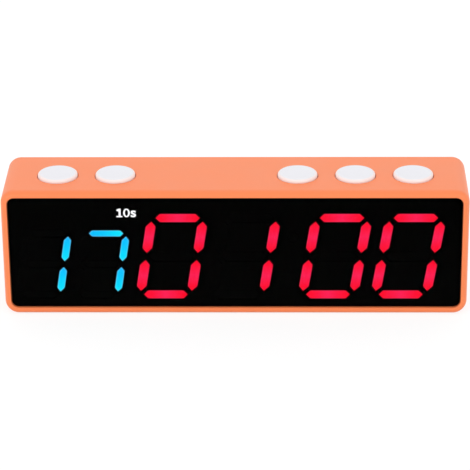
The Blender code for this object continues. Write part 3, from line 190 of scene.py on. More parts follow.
class Shape:
    """A mesh in the making, from lofts, prisms and turned bodies."""

    def __init__(self) -> None:
        """Start with nothing."""
        self.mesh = bmesh.new()

    def loft(self, rings: Sequence[Sequence[Sequence[float]]]) -> Shape:
        """Add a closed body.

        Args:
            rings: Rings of points that it runs through, all of one length.

        Returns:
            This shape.
        """
        loops = [[self.mesh.verts.new(point) for point in ring] for ring in rings]
        for first, second in zip(loops, loops[1:]):
            for i in range(len(first)):
                j = (i + 1) % len(first)
                self.mesh.faces.new((first[i], first[j], second[j], second[i]))
        self.mesh.faces.new(loops[0][::-1])
        self.mesh.faces.new(loops[-1])
        return self

    def prism(self, outline: Sequence[Point], axis: Axis, limits: Limits, edge: float = 0.0) -> Shape:
        """Add a prism.

        Args:
            outline: Its section, in order.
            axis: The axis that it runs along.
            limits: Where it starts and ends.
            edge: How wide the small chamfer round both ends is.

        Returns:
            This shape.
        """
        low, high = limits
        runs = [(low, 0.0), (high, 0.0)]
        if edge:
            runs = [(low, edge), (low + edge, 0.0), (high - edge, 0.0), (high, edge)]
        middle = [sum(values) / len(outline) for values in zip(*outline)]
        reach = [max(abs(p[k] - middle[k]) for p in outline) for k in (0, 1)]
        rings = []
        for at, inset in runs:
            across, up = (1 - inset / r for r in reach)
            ring = [(middle[0] + (u - middle[0]) * across, middle[1] + (v - middle[1]) * up) for u, v in outline]
            rings.append([axis.place(u, v, at) for u, v in ring])
        return self.loft(rings)

    def box(self, x: Limits, y: Limits, z: Limits, edge: float = 0.0) -> Shape:
        """Add a box between limits, with a small chamfer at its low and high ends."""
        return self.prism([(x[0], y[0]), (x[1], y[0]), (x[1], y[1]), (x[0], y[1])], Axis.Z, z, edge)

    def turned(self, profile: Sequence[Point], axis: Axis, centre: Point, steps: int, ring: bool = False) -> Shape:
        """Add a turned body.

        Args:
            profile: Pairs of radius and place on the axis, from end to end, or all round a ring.
            axis: The axis that it turns about.
            centre: Where the axis lies in the plane square to it.
            steps: How many sides it has.
            ring: True where the profile closes on itself.

        Returns:
            This shape.
        """
        loops = []
        for radius, along in profile:
            if radius == 0:
                loops.append([self.mesh.verts.new(axis.place(*centre, along))])
                continue
            loops.append([self.mesh.verts.new(axis.place(u, v, along)) for u, v in circle(centre, radius, steps)])
        pairs = list(zip(loops, loops[1:])) + ([(loops[-1], loops[0])] if ring else [])
        for first, second in pairs:
            for i in range(steps):
                j = (i + 1) % steps
                low = [first[i % len(first)], first[j % len(first)]]
                high = [second[j % len(second)], second[i % len(second)]]
                self.mesh.faces.new(list(dict.fromkeys(low + high)))
        return self

    def pin(self, diameter: float, axis: Axis, centre: Point, limits: Limits, steps: int = Sides.PLAIN) -> Shape:
        """Add a plain round bar."""
        low, high = limits
        return self.turned([(0, low), (diameter / 2, low), (diameter / 2, high), (0, high)], axis, centre, steps)

    def tool(self, name: str = "tool") -> Piece:
        """The shape as an object, to carve with or to finish.

        Args:
            name: The name of the object and its mesh.

        Returns:
            The object.
        """
        bmesh.ops.recalc_face_normals(self.mesh, faces=self.mesh.faces)
        mesh = bpy.data.meshes.new(name)
        self.mesh.to_mesh(mesh)
        self.mesh.free()
        return show(name, mesh)

    def piece(self, name: str, *finishes: Finish) -> Piece:
        """The shape as a named object with its finishes.

        Args:
            name: The piece's name.
            finishes: Its finishes, in the order of its faces' numbers.

        Returns:
            The piece.
        """
        made = self.tool(name)
        for finish in finishes:
            made.data.materials.append(finish.material())
        return made


def settled(piece: Piece) -> bpy.types.Mesh:
    """A new mesh of a piece as its modifiers leave it."""
    return bpy.data.meshes.new_from_object(piece.evaluated_get(bpy.context.evaluated_depsgraph_get()))


def carve(target: Piece, shape: Shape, carving: Carving = Carving.CUT) -> None:
    """Cut a shape out of a piece or join it on, for good.

    Args:
        target: The piece.
        shape: The shape, which is used up.
        carving: Whether it is cut out or joined on.
    """
    tool = shape.tool()
    step = target.modifiers.new("step", "BOOLEAN")
    step.operation = carving.value
    step.solver = "EXACT"
    step.object = tool
    result = settled(target)
    target.modifiers.clear()
    target.data = result
    result.name = target.name
    bpy.data.objects.remove(tool, do_unlink=True)


def soften(piece: Piece, edge: float = 0.0, angle: float = SHARP) -> None:
    """Shade round sides smooth and flat ones flat.

    Args:
        piece: The piece.
        edge: How wide the small round along its sharp edges is.
        angle: The angle, in degrees, from which an edge is sharp.
    """
    piece.data.shade_smooth()
    piece.data.set_sharp_from_angle(angle=math.radians(angle))
    if edge:
        bevel = piece.modifiers.new("edge", "BEVEL")
        bevel.width, bevel.segments = edge, 2
        bevel.limit_method, bevel.angle_limit = "ANGLE", math.radians(angle)
    piece.modifiers.new("flats", "WEIGHTED_NORMAL").keep_sharp = True


def publish(
    piece: Piece, slot: str, *nodes: str, body: str = CASING, angle: float = SHARP, edge: float = 0.0
) -> None:
    """Shade a new piece and let it ride on its body.

    Args:
        piece: The new piece, in place.
        slot: Not used.
        nodes: The nodes that it stands for.
        body: The body that it moves with.
        angle: The angle, in degrees, from which an edge is sharp, or 0 for a piece that is shaded already.
        edge: How wide the small round along its sharp edges is.
    """
    if angle:
        soften(piece, edge, angle)
    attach(piece, body)
    if nodes:
        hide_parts(*nodes)
    LOG.info("%s on %s, %d faces, for %s", piece.name, body, len(piece.data.polygons), ", ".join(nodes) or "itself")


def extent(node: str) -> tuple[Vector, Vector, Vector]:
    """The low corner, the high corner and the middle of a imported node's box."""
    low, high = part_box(node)
    return low, high, (low + high) / 2


def numbered(stem: str) -> list[tuple[Vector, Vector, Vector]]:
    """The low corner, the high corner and the middle of each node with this stem and a number as its name."""
    return [extent(name) for name in sorted(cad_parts) if name[:-1] == f"{stem}_"]


# Shader effects that several finishes share


def opaque(color: Color) -> tuple[float, ...]:
    """A colour as a socket takes it."""
    return (*color, 1.0)


def feed(node: bpy.types.Node, inputs: Mapping[str | int, object]) -> bpy.types.Node:
    """Set a node's inputs.

    Args:
        node: The node.
        inputs: A value or a socket for each named or numbered input.

    Returns:
        The node.
    """
    for key, value in inputs.items():
        if isinstance(value, Value):
            node.id_data.links.new(value, node.inputs[key])
        else:
            node.inputs[key].default_value = value
    return node


def add_node(tree: Tree, kind: str, inputs: Mapping[str | int, object], **settings: object) -> bpy.types.Node:
    """Add a node to a tree.

    Args:
        tree: The tree that takes it.
        kind: The node's type.
        inputs: A value or a socket for each named or numbered input.
        settings: The node's own settings.

    Returns:
        The new node.
    """
    made = tree.nodes.new(kind)
    for key, value in settings.items():
        setattr(made, key, value)
    return feed(made, inputs)


def calculate(tree: Tree, operation: str, *values: object, clamp: bool = False) -> Value:
    """The result of a calculation with numbers and sockets."""
    return add_node(tree, "ShaderNodeMath", dict(enumerate(values)), operation=operation, use_clamp=clamp).outputs[0]


def blend(tree: Tree, share: object, first: object, second: object, way: str = "MIX") -> Value:
    """Two colours mixed by a share."""
    inputs = {0: share, 6: first, 7: second}
    return add_node(tree, "ShaderNodeMix", inputs, data_type="RGBA", blend_type=way).outputs[2]


def in_place(tree: Tree) -> Value:
    """The place on the object itself."""
    return add_node(tree, "ShaderNodeTexCoord", {}).outputs["Object"]


def cloud(tree: Tree, place: Value, scale: object, detail: float, roughness: float = 0.5) -> Value:
    """The value of a noise at a place."""
    inputs = {"Vector": place, "Scale": scale, "Detail": detail, "Roughness": roughness}
    return add_node(tree, "ShaderNodeTexNoise", inputs).outputs["Fac"]


def relief(tree: Tree, height: Value, depth: float) -> Value:
    """The normal of a surface with a height between 0 and 1 and its full depth in metres."""
    return add_node(tree, "ShaderNodeBump", {"Strength": 1.0, "Distance": depth, "Height": height}).outputs["Normal"]


def watched(tree: Tree) -> Value:
    """One for what the camera sees itself, mirrored or through glass, and zero for light on the object.

    Args:
        tree: The tree that takes it.

    Returns:
        Its socket.
    """
    path = tree.nodes.new("ShaderNodeLightPath").outputs
    shiny = calculate(tree, "MAXIMUM", path["Is Glossy Ray"], path["Is Transmission Ray"])
    return calculate(tree, "MAXIMUM", path["Is Camera Ray"], shiny)


def group_ends(
    tree: Tree, takes: Mapping[str, str], gives: Mapping[str, str]
) -> tuple[Mapping[str, Value], bpy.types.Node]:
    """Make a group's sockets.

    Args:
        tree: The group.
        takes: The kind of each named input.
        gives: The kind of each named output.

    Returns:
        The sockets of the group's inputs, and its output node.
    """
    for way, sockets in (("INPUT", takes), ("OUTPUT", gives)):
        for name, kind in sockets.items():
            tree.interface.new_socket(name, in_out=way, socket_type=f"NodeSocket{kind}")
    return tree.nodes.new("NodeGroupInput").outputs, tree.nodes.new("NodeGroupOutput")


def build_grain(tree: Tree) -> None:
    """A moulded surface: a fine grain, broad soft patches and a little change of gloss.

    Args:
        tree: The new group.
    """
    broad_share, fine_share, gloss_change = 0.03, 0.5, 0.12
    takes = {"Color": "Color", "Roughness": "Float", "Size": "Float", "Shade": "Float"}
    given, end = group_ends(tree, takes, {"Color": "Color", "Roughness": "Float", "Height": "Float"})
    place = in_place(tree)
    scale = calculate(tree, "DIVIDE", 1.0, given["Size"])
    fine = cloud(tree, place, scale, 3.0, 0.6)
    broad = cloud(tree, place, calculate(tree, "MULTIPLY", scale, broad_share), 2.0)
    patch = calculate(tree, "SUBTRACT", broad, 0.5)
    speck = calculate(tree, "SUBTRACT", fine, 0.5)
    both = calculate(tree, "ADD", patch, calculate(tree, "MULTIPLY", speck, fine_share))
    shade = calculate(tree, "MULTIPLY_ADD", both, given["Shade"], 1.0)
    gloss = calculate(tree, "MULTIPLY_ADD", both, gloss_change, given["Roughness"], clamp=True)
    color = blend(tree, 1.0, given["Color"], shade, "MULTIPLY")
    feed(end, {"Color": color, "Roughness": gloss, "Height": fine})


def build_brush(tree: Tree) -> None:
    """A drawn or turned metal: fine lines along one direction, with a little tarnish in patches.

    Args:
        tree: The new group.
    """
    line_scale, patch_scale, shade_change, gloss_change = 1000.0, 260.0, 0.25, 0.2
    takes = {"Color": "Color", "Roughness": "Float", "Stretch": "Vector", "Tarnish": "Float"}
    given, end = group_ends(tree, takes, {"Color": "Color", "Roughness": "Float", "Height": "Float"})
    place = in_place(tree)
    drawn = add_node(tree, "ShaderNodeVectorMath", {0: place, 1: given["Stretch"]}, operation="MULTIPLY")
    lines = cloud(tree, drawn.outputs[0], line_scale, 4.0)
    line = calculate(tree, "SUBTRACT", lines, 0.5)
    spot = calculate(tree, "MULTIPLY", cloud(tree, place, patch_scale, 3.0), given["Tarnish"])
    shade = calculate(tree, "MULTIPLY_ADD", line, shade_change, calculate(tree, "SUBTRACT", 1.0, spot))
    rough = calculate(tree, "MULTIPLY_ADD", line, gloss_change, given["Roughness"])
    gloss = calculate(tree, "ADD", rough, spot, clamp=True)
    color = blend(tree, 1.0, given["Color"], shade, "MULTIPLY")
    feed(end, {"Color": color, "Roughness": gloss, "Height": lines})


def build_tracks(tree: Tree) -> None:
    """A circuit board: copper tracks under the lacquer, small tinned pads, and what stands out from its faces.

    Args:
        tree: The new group.
    """
    break_scale, break_share, pad_scale, pad_size, pad_share = 170.0, 0.42, 330.0, 0.14, 0.8
    takes = dict.fromkeys(("Lacquer", "Track", "Pad", "Part"), "Color")
    takes |= dict.fromkeys(("Upright", "Low", "High"), "Float")
    given, end = group_ends(tree, takes, {"Color": "Color", "Pads": "Float", "Height": "Float"})
    parts = add_node(tree, "ShaderNodeSeparateXYZ", {0: in_place(tree)}).outputs
    upright = given["Upright"]
    lying = calculate(tree, "SUBTRACT", 1.0, upright)
    up = calculate(tree, "MULTIPLY_ADD", parts["Y"], lying, calculate(tree, "MULTIPLY", parts["Z"], upright))
    level = calculate(tree, "MULTIPLY_ADD", parts["Y"], upright, calculate(tree, "MULTIPLY", parts["Z"], lying))
    behind = calculate(tree, "LESS_THAN", level, given["Low"])
    past = calculate(tree, "ADD", calculate(tree, "GREATER_THAN", level, given["High"]), behind, clamp=True)
    flat = add_node(tree, "ShaderNodeCombineXYZ", {0: parts["X"], 1: up}).outputs[0]
    rows = {"Vector": flat, "Scale": 1.0, "Mortar Size": 0.12 * MM, "Mortar Smooth": 0.0}
    rows |= {"Brick Width": 5.3 * MM, "Row Height": 1.1 * MM}
    lines = add_node(tree, "ShaderNodeTexBrick", rows, offset=0.37, squash=0.6, squash_frequency=3).outputs["Fac"]
    kept = calculate(tree, "GREATER_THAN", cloud(tree, flat, break_scale, 0.0), break_share)
    track = calculate(tree, "MULTIPLY", lines, kept)
    spots = {"Vector": flat, "Scale": pad_scale, "Randomness": 0.55}
    pads = add_node(tree, "ShaderNodeTexVoronoi", spots, voronoi_dimensions="2D").outputs
    drawn = add_node(tree, "ShaderNodeSeparateColor", {0: pads["Color"]}).outputs[0]
    dot = calculate(tree, "LESS_THAN", pads["Distance"], pad_size)
    pad = calculate(tree, "MULTIPLY", dot, calculate(tree, "GREATER_THAN", drawn, pad_share))
    lacquered = blend(tree, track, given["Lacquer"], given["Track"])
    board = blend(tree, pad, lacquered, given["Pad"])
    raised = calculate(tree, "ADD", track, pad, clamp=True)
    feed(end, {
        "Color": blend(tree, past, board, given["Part"]),
        "Pads": calculate(tree, "SUBTRACT", pad, past, clamp=True),
        "Height": calculate(tree, "SUBTRACT", raised, past, clamp=True),
    })


def build_glow(tree: Tree) -> None:
    """A lit stroke: one colour in its middle or at its start, another at its ends, and a paler rim.

    Args:
        tree: The new group.
    """
    bend, mottle_scale, mottle, rim_bend, rim_share = 0.7, 700.0, 0.4, 0.8, 0.75
    takes = {"Run": "Vector", "First": "Color", "Last": "Color", "Rim": "Color", "One Way": "Float"}
    given, end = group_ends(tree, takes, {"Color": "Color"})
    parts = add_node(tree, "ShaderNodeSeparateXYZ", {0: given["Run"]}).outputs
    ends = calculate(tree, "ABSOLUTE", calculate(tree, "MULTIPLY_ADD", parts["X"], 2.0, -1.0))
    change = calculate(tree, "SUBTRACT", parts["X"], ends)
    along = calculate(tree, "MULTIPLY_ADD", change, given["One Way"], ends)
    mottled = calculate(tree, "MULTIPLY_ADD", cloud(tree, in_place(tree), mottle_scale, 2.0), mottle, -mottle / 2)
    share = calculate(tree, "ADD", calculate(tree, "POWER", along, bend), mottled, clamp=True)
    body = blend(tree, share, given["First"], given["Last"])
    both_ways = calculate(tree, "SUBTRACT", 1.0, given["One Way"])
    tipped = calculate(tree, "MULTIPLY", calculate(tree, "POWER", ends, 2.0), both_ways)
    rim = calculate(tree, "MULTIPLY", calculate(tree, "POWER", parts["Y"], rim_bend), rim_share)
    rim = calculate(tree, "MULTIPLY", rim, calculate(tree, "SUBTRACT", 1.0, tipped))
    feed(end, {"Color": blend(tree, rim, body, given["Rim"])})


class Effect(Enum):
    """The shared effects, each a node group that is built at its first use."""

    GRAIN = ("moulded_grain", build_grain)
    BRUSH = ("drawn_metal", build_brush)
    TRACKS = ("board_tracks", build_tracks)
    GLOW = ("stroke_glow", build_glow)

    def use(self, tree: Tree, inputs: Mapping[str | int, object]) -> Mapping[str, Value]:
        """Place this effect in a material.

        Args:
            tree: The material's tree.
            inputs: A value or a socket for each of the effect's inputs.

        Returns:
            The effect's outputs.
        """
        title, build = self.value
        if title not in bpy.data.node_groups:
            build(bpy.data.node_groups.new(title, "ShaderNodeTree"))
        return add_node(tree, "ShaderNodeGroup", inputs, node_tree=bpy.data.node_groups[title]).outputs


# Finishes


@dataclass(frozen=True)
class Finish:
    """A named material. What it is made of is in its kinds below."""

    name: str

    def material(self) -> bpy.types.Material:
        """The material, made at its first use.

        Returns:
            The material.
        """
        title = f"{self.name}_finish"
        if title not in bpy.data.materials:
            made = bpy.data.materials.new(title)
            made.use_nodes = True
            feed(made.node_tree.nodes["Principled BSDF"], self.inputs(made.node_tree))
        return bpy.data.materials[title]

    def inputs(self, tree: Tree) -> dict[str, object]:
        """The shader's own values, and what feeds its sockets."""
        raise NotImplementedError


@dataclass(frozen=True)
class Moulded(Finish):
    """A moulded, cast, foamed or sleeved surface in one colour with a grain."""

    color: Color
    roughness: float
    grain: float = 0.4 * MM
    depth: float = 0.006 * MM
    shade: float = 0.10
    gloss: float = 0.5
    coat: float = 0.0
    coat_roughness: float = 0.12

    def inputs(self, tree: Tree) -> dict[str, object]:
        """Colour, gloss and relief from the grain.

        Args:
            tree: The material's tree.

        Returns:
            A value or a socket for each of the shader's inputs.
        """
        values = {"Color": opaque(self.color), "Roughness": self.roughness, "Size": self.grain, "Shade": self.shade}
        grain = Effect.GRAIN.use(tree, values)
        return {
            "Base Color": grain["Color"],
            "Roughness": grain["Roughness"],
            "Specular IOR Level": self.gloss,
            "Coat Weight": self.coat,
            "Coat Roughness": self.coat_roughness,
            "Normal": relief(tree, grain["Height"], self.depth),
        }


@dataclass(frozen=True)
class Drawn(Finish):
    """A bare or plated metal with fine lines."""

    color: Color
    roughness: float
    stretch: tuple[float, float, float] = (1.0, 1.0, 1.0)
    tarnish: float = 0.06
    depth: float = 0.003 * MM

    def inputs(self, tree: Tree) -> dict[str, object]:
        """Colour, gloss and relief from the drawn lines.

        Args:
            tree: The material's tree.

        Returns:
            A value or a socket for each of the shader's inputs.
        """
        values = {"Color": opaque(self.color), "Roughness": self.roughness, "Stretch": self.stretch}
        lines = Effect.BRUSH.use(tree, {**values, "Tarnish": self.tarnish})
        metal = {"Base Color": lines["Color"], "Roughness": lines["Roughness"], "Metallic": 1.0}
        return {**metal, "Normal": relief(tree, lines["Height"], self.depth)}


@dataclass(frozen=True)
class Circuit(Finish):
    """A lacquered circuit board, lying flat or standing, between the levels of its two faces."""

    upright: bool
    faces: Limits
    part: Color = (0.72, 0.70, 0.64)
    lacquer: Color = (0.012, 0.12, 0.045)
    track: Color = (0.03, 0.22, 0.075)
    pad: Color = (0.62, 0.61, 0.57)
    margin: float = 0.02 * MM
    roughness: float = 0.38
    coat: float = 0.3
    depth: float = 0.035 * MM

    def inputs(self, tree: Tree) -> dict[str, object]:
        """Colour, metalness and relief from the tracks.

        Args:
            tree: The material's tree.

        Returns:
            A value or a socket for each of the shader's inputs.
        """
        colors = {"Lacquer": self.lacquer, "Track": self.track, "Pad": self.pad, "Part": self.part}
        low, high = self.faces
        places = {"Upright": float(self.upright), "Low": low - self.margin, "High": high + self.margin}
        tracks = Effect.TRACKS.use(tree, {**{name: opaque(color) for name, color in colors.items()}, **places})
        return {
            "Base Color": tracks["Color"],
            "Metallic": tracks["Pads"],
            "Roughness": self.roughness,
            "Coat Weight": self.coat,
            "Normal": relief(tree, tracks["Height"], self.depth),
        }


@dataclass(frozen=True)
class Lit(Finish):
    """A lit stroke or letter behind the smoked window."""

    first: Color
    last: Color
    rim: Color
    one_way: float = 0.0
    strength: float = 4.95
    unlit: Color = (0.02, 0.02, 0.02)

    def inputs(self, tree: Tree) -> dict[str, object]:
        """A glow that changes along and across the stroke.

        Args:
            tree: The material's tree.

        Returns:
            A value or a socket for each of the shader's inputs.
        """
        run = add_node(tree, "ShaderNodeUVMap", {}, uv_map=RUN).outputs[0]
        colors = {"First": opaque(self.first), "Last": opaque(self.last), "Rim": opaque(self.rim)}
        glow = Effect.GLOW.use(tree, {"Run": run, "One Way": self.one_way, **colors})
        light = {"Emission Color": glow["Color"], "Emission Strength": self.strength}
        return {"Base Color": opaque(self.unlit), "Roughness": 0.5, **light}


@dataclass(frozen=True)
class Smoked(Finish):
    """The clear dark plastic of the window, polished."""

    tint: Color
    roughness: float = 0.02
    marks: float = 1.5 * MM
    ior: float = 1.49
    mirror: Color = (0.002, 0.002, 0.002)

    def inputs(self, tree: Tree) -> dict[str, object]:
        """The tint, with a trace of wiping marks in the gloss.

        Args:
            tree: The material's tree.

        Returns:
            A value or a socket for each of the shader's inputs.
        """
        values = {"Color": opaque(self.tint), "Roughness": self.roughness, "Size": self.marks, "Shade": 0.0}
        wiped = calculate(tree, "MULTIPLY", Effect.GRAIN.use(tree, values)["Roughness"], 0.5)
        glass = {"Base Color": opaque(self.tint), "Roughness": wiped, "Transmission Weight": 1.0}
        return {**glass, "IOR": self.ior, "Specular Tint": opaque(self.mirror)}


@dataclass(frozen=True)
class Ribbed(Finish):
    """A flat cable: side by side wires in one skin."""

    color: Color
    pitch: float = 1.27 * MM
    groove_painted_shade: float = 0.65
    roughness: float = 0.45
    depth: float = 0.15 * MM

    def inputs(self, tree: Tree) -> dict[str, object]:
        """Relief from a wave across the cable, with the colour darkened in its grooves as painted shade.

        Args:
            tree: The material's tree.

        Returns:
            A value or a socket for each of the shader's inputs.
        """
        across = add_node(tree, "ShaderNodeSeparateXYZ", {0: in_place(tree)}).outputs["X"]
        turn = calculate(tree, "MULTIPLY", across, 2 * math.pi / self.pitch)
        wave = calculate(tree, "MULTIPLY_ADD", calculate(tree, "COSINE", turn), 0.5, 0.5)
        # Painted shade: the colour is darkened in the grooves between the wires, following the relief wave.
        shade = calculate(tree, "MULTIPLY_ADD", wave, 1.0 - self.groove_painted_shade, self.groove_painted_shade)
        color = blend(tree, 1.0, opaque(self.color), shade, "MULTIPLY")
        return {"Base Color": color, "Roughness": self.roughness, "Normal": relief(tree, wave, self.depth)}


SHELL = Moulded("shell_orange", (0.95, 0.235, 0.073), 0.42, grain=0.35 * MM, shade=0.05)
# CAP's warm pink tint on the caps' rims and sides is painted bounce light from the orange casing; CAP_FACE keeps the
# face's cooler white.
CAP = Moulded("cap_rim_painted_bounce", (0.93, 0.83, 0.81), 0.42, grain=0.3 * MM, depth=0.003 * MM, shade=0.02)
CAP_FACE = Moulded("cap_face", (0.83, 0.83, 0.875), 0.45, grain=0.3 * MM, depth=0.004 * MM, shade=0.03)
MASK = Moulded("mask_black", (0.005, 0.005, 0.005), 0.75, gloss=0.15)
PRINT = Moulded("border_print", (0.002, 0.002, 0.002), 0.8, gloss=0.1)
DARK_STROKE = Moulded("stroke_unlit", (0.007, 0.007, 0.007), 0.6, gloss=0.15)
BLACK = Moulded("black_plastic", (0.012, 0.012, 0.013), 0.5)
CHIP = Moulded("chip_black", (0.02, 0.02, 0.022), 0.55, grain=0.12 * MM, depth=0.01 * MM)
CREAM = Moulded("plug_cream", (0.78, 0.74, 0.64), 0.45)
WHITE = Moulded("lamp_white", (0.82, 0.82, 0.8), 0.4)
FOAM = Moulded("black_foam", (0.025, 0.025, 0.027), 0.95, grain=0.5 * MM, depth=0.12 * MM, shade=0.5, gloss=0.2)
SLEEVE = Moulded("cell_film", (0.02, 0.10, 0.42), 0.25, grain=2.0 * MM, depth=0.02 * MM, coat=0.4)
LEAD_RED = Moulded("lead_red", (0.55, 0.012, 0.012), 0.35, grain=0.8 * MM)
LEAD_BLACK = Moulded("lead_black", (0.012, 0.012, 0.012), 0.35, grain=0.8 * MM)
STEEL = Drawn("plated_steel", (0.62, 0.62, 0.63), 0.28)
DARK_STEEL = Drawn("dark_steel", (0.09, 0.09, 0.095), 0.34)
NICKEL = Drawn("nickel", (0.70, 0.69, 0.66), 0.16, stretch=(0.5, 0.5, 0.5))
BRASS = Drawn("brass", (0.74, 0.50, 0.19), 0.26, tarnish=0.12)
GOLD = Drawn("contact_gold", (0.85, 0.62, 0.28), 0.2)
DISPLAY_BOARD = Circuit("board_display", True, (-7.55 * MM, -5.95 * MM))
BUTTON_BOARD = Circuit("board_buttons", False, (41.9 * MM, 43.5 * MM))
POWER_BOARD = Circuit("board_power", False, (7.0 * MM, 8.2 * MM), part=(0.02, 0.02, 0.022))
RIBBON = Ribbed("ribbon_grey", (0.42, 0.42, 0.44))
SMOKE = Smoked("smoked_window", (0.20, 0.20, 0.205))
LIT_RED = Lit("lit_red", (0.98, 0.0165, 0.099), (0.97, 0.001, 0.012), (0.86, 0.034, 0.100))
LIT_BLUE = Lit("lit_blue", (0.001, 0.86, 0.99), (0.004, 0.47, 0.97), (0.19, 0.70, 1.0), one_way=1.0)
LIT_WHITE = Lit("lit_white", (0.98, 0.98, 0.98), (0.96, 0.96, 0.98), (0.98, 0.98, 0.98), strength=5.9)


# Casing


class Facing(Enum):
    """Which way a screw's head looks."""

    BACK = "back"
    UP = "up"
    DOWN = "down"

    def turn(self) -> Matrix:
        """The turn that takes a screw with its head up to this way.

        Returns:
            The turn.
        """
        if self is Facing.BACK:
            return Matrix.Rotation(-math.pi / 2, 4, "X")
        return Matrix.Rotation(math.pi if self is Facing.DOWN else 0.0, 4, "X")


@dataclass(frozen=True)
class ScrewKind:
    """Screws of one kind: their nodes, the way that their heads look, and their finish."""

    name: str
    facing: Facing
    finish: Finish = STEEL
    slot: str = "steel"


SCREW_KINDS = (
    ScrewKind("display_screw", Facing.BACK),
    ScrewKind("rear_screw", Facing.BACK, DARK_STEEL, "black_steel"),
    ScrewKind("button_board_screw", Facing.DOWN),
    ScrewKind("power_board_screw", Facing.UP),
)


@dataclass
class Casing:
    """The orange casing in one piece: lip, walls and the fittings inside."""

    wall: float = 2.2 * MM
    corner: float = 5.5 * MM
    front_inset: float = 2.0 * MM
    front_depth: float = 3.3 * MM
    back_round: float = 1.0 * MM
    steps: int = 14
    back_steps: int = 4
    lip: tuple[float, float, float] = (2.6 * MM, 3.0 * MM, 2.4 * MM)
    opening_corner: float = 3.0 * MM
    chamfer: float = 0.12 * MM
    rail: Limits = (-14.65 * MM, -12.65 * MM)
    mask_corner: float = 1.5 * MM
    mask_depth: float = 4.0 * MM
    board_face: float = -7.85 * MM
    cover_face: float = 15.95 * MM
    cover_pillar: float = 7.0 * MM
    cover_pillar_depth: float = 9.0 * MM
    reach: float = 9.0 * MM
    drop: float = 8.4 * MM
    foot: float = 6.1 * MM
    foot_width: float = 5.2 * MM
    foot_x: float = -42.0 * MM
    post: float = 4.6 * MM
    post_y: float = 5.5 * MM
    boss: tuple[float, float] = (11.2 * MM, 9.3 * MM)
    insert: tuple[float, float] = (8.6 * MM, 8.3 * MM)
    bore: float = 2.4 * MM
    bore_rest: float = 0.4 * MM
    cap_hole: float = 8.16 * MM
    cap_edge: float = 0.3 * MM
    edge_steps: int = 6
    cell: Point = (5.6 * MM, 13.5 * MM)
    cell_radius: float = 9.2 * MM
    cell_length: float = 65.0 * MM
    cell_tab: float = 0.4 * MM
    rib: float = 1.6 * MM
    rib_height: float = 8.9 * MM
    rib_front: float = 10.6 * MM
    rib_shares: tuple[float, ...] = (0.15, 0.5, 0.85)
    seat_steps: int = 24
    low: Vector = field(default_factory=lambda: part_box("main_case")[0])
    high: Vector = field(default_factory=lambda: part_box("main_case")[1])

    def outside(self) -> Shape:
        """The outside with its rounded front and back edges.

        Returns:
            The shape.
        """
        rings = []
        for i in range(self.steps + 1):
            turn = math.pi / 2 * i / self.steps
            y = self.low.y + self.front_depth * (1 - math.cos(turn))
            rings.append((y, self.front_inset * (1 - math.sin(turn))))
        for i in range(self.back_steps + 1):
            turn = math.pi / 2 * i / self.back_steps
            y = self.high.y - self.back_round * (1 - math.sin(turn))
            rings.append((y, self.back_round * (1 - math.cos(turn))))
        loops = []
        for y, inset in rings:
            outline = around(self.low, self.high, -inset, self.corner - inset, self.steps)
            loops.append([(u, y, v) for u, v in outline])
        return Shape().loft(loops)

    def inside(self) -> tuple[Limits, Limits]:
        """The inner faces of the walls, across and up."""
        wall = self.wall
        return (self.low.x + wall, self.high.x - wall), (self.low.z + wall, self.high.z - wall)

    def rooted(self, x: Limits, z: Limits) -> list[Point]:
        """A pillar's outline, sunk into the walls that it touches and rounded with the casing in a corner.

        Args:
            x: The pillar's left and right.
            z: Its bottom and top.

        Returns:
            The points of its outline.
        """
        root, near = self.wall / 2, 0.01 * MM
        (left, right), (bottom, top) = self.inside()
        sides = (x[0] < left + near, x[1] > right - near)
        levels = (z[0] < bottom + near, z[1] > top - near)
        corners = ((sides[1], levels[1]), (sides[0], levels[1]), (sides[0], levels[0]), (sides[1], levels[0]))
        radii = [self.corner - root if side and level else 0.0 for side, level in corners]
        across = (x[0] - root * sides[0], x[1] + root * sides[1])
        return cornered(across, (z[0] - root * levels[0], z[1] + root * levels[1]), radii, self.steps)

    def fittings(self) -> Shape:
        """The pillars, posts, ribs and boss inside.

        Returns:
            The shape.
        """
        shape, root, size = Shape(), self.wall / 2, self.cover_pillar
        (left, right), (bottom, top) = self.inside()
        display = (self.rail[1] - root, self.board_face)
        cover = (self.cover_face - self.cover_pillar_depth, self.cover_face)
        above, below = (top - self.drop, top), (bottom, bottom + self.foot)
        last = (right - self.reach, right)
        pillars = [((left, left + self.reach), above, display), (last, above, display), (last, below, display)]
        pillars.append((spread(self.foot_x, self.foot_width), below, display))
        for x in ((left, left + size), (right - size, right)):
            pillars += [(x, z, cover) for z in ((bottom, bottom + size), (top - size, top))]
        for x, z, depth in pillars:
            shape.prism(self.rooted(x, z), Axis.Y, depth)
        caps = [spot.x for *_, spot in numbered("button_cap")]
        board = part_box("button_board")[1].z + GAP
        for x in (*((caps[i] + caps[i + 1]) / 2 for i in (0, 2, 3)), caps[1] + (caps[1] - caps[0]) / 2):
            shape.pin(self.post, Axis.Z, (x, self.post_y), (board, top + root))
        for *_, spot in numbered("power_board_screw"):
            shape.pin(self.post, Axis.Z, (spot.x, spot.y), (root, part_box("power_board")[0].z - GAP))
        self.cradle(shape)
        width, height = self.boss
        return shape.pin(width, Axis.Z, (0.0, 0.0), (root, height), Sides.BOSS)

    def cradle(self, shape: Shape) -> None:
        """Add the three ribs under the cell, each with a round seat.

        Args:
            shape: The shape that takes them.
        """
        (y, z), radius, top = self.cell, self.cell_radius + GAP, self.wall + self.rib_height
        rise = math.asin((z - top) / radius) * 2 / math.pi
        seat = arc(self.cell, (radius, -radius), rise, 2 - rise, self.seat_steps)
        front, back = y - self.rib_front, self.cover_face - GAP
        outline = [(front, self.wall / 2), (back, self.wall / 2), (back, top), *seat, (front, top)]
        for share in self.rib_shares:
            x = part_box("battery_cell")[0].x + self.cell_tab + self.cell_length * share
            shape.prism(outline, Axis.X, spread(x, self.rib))

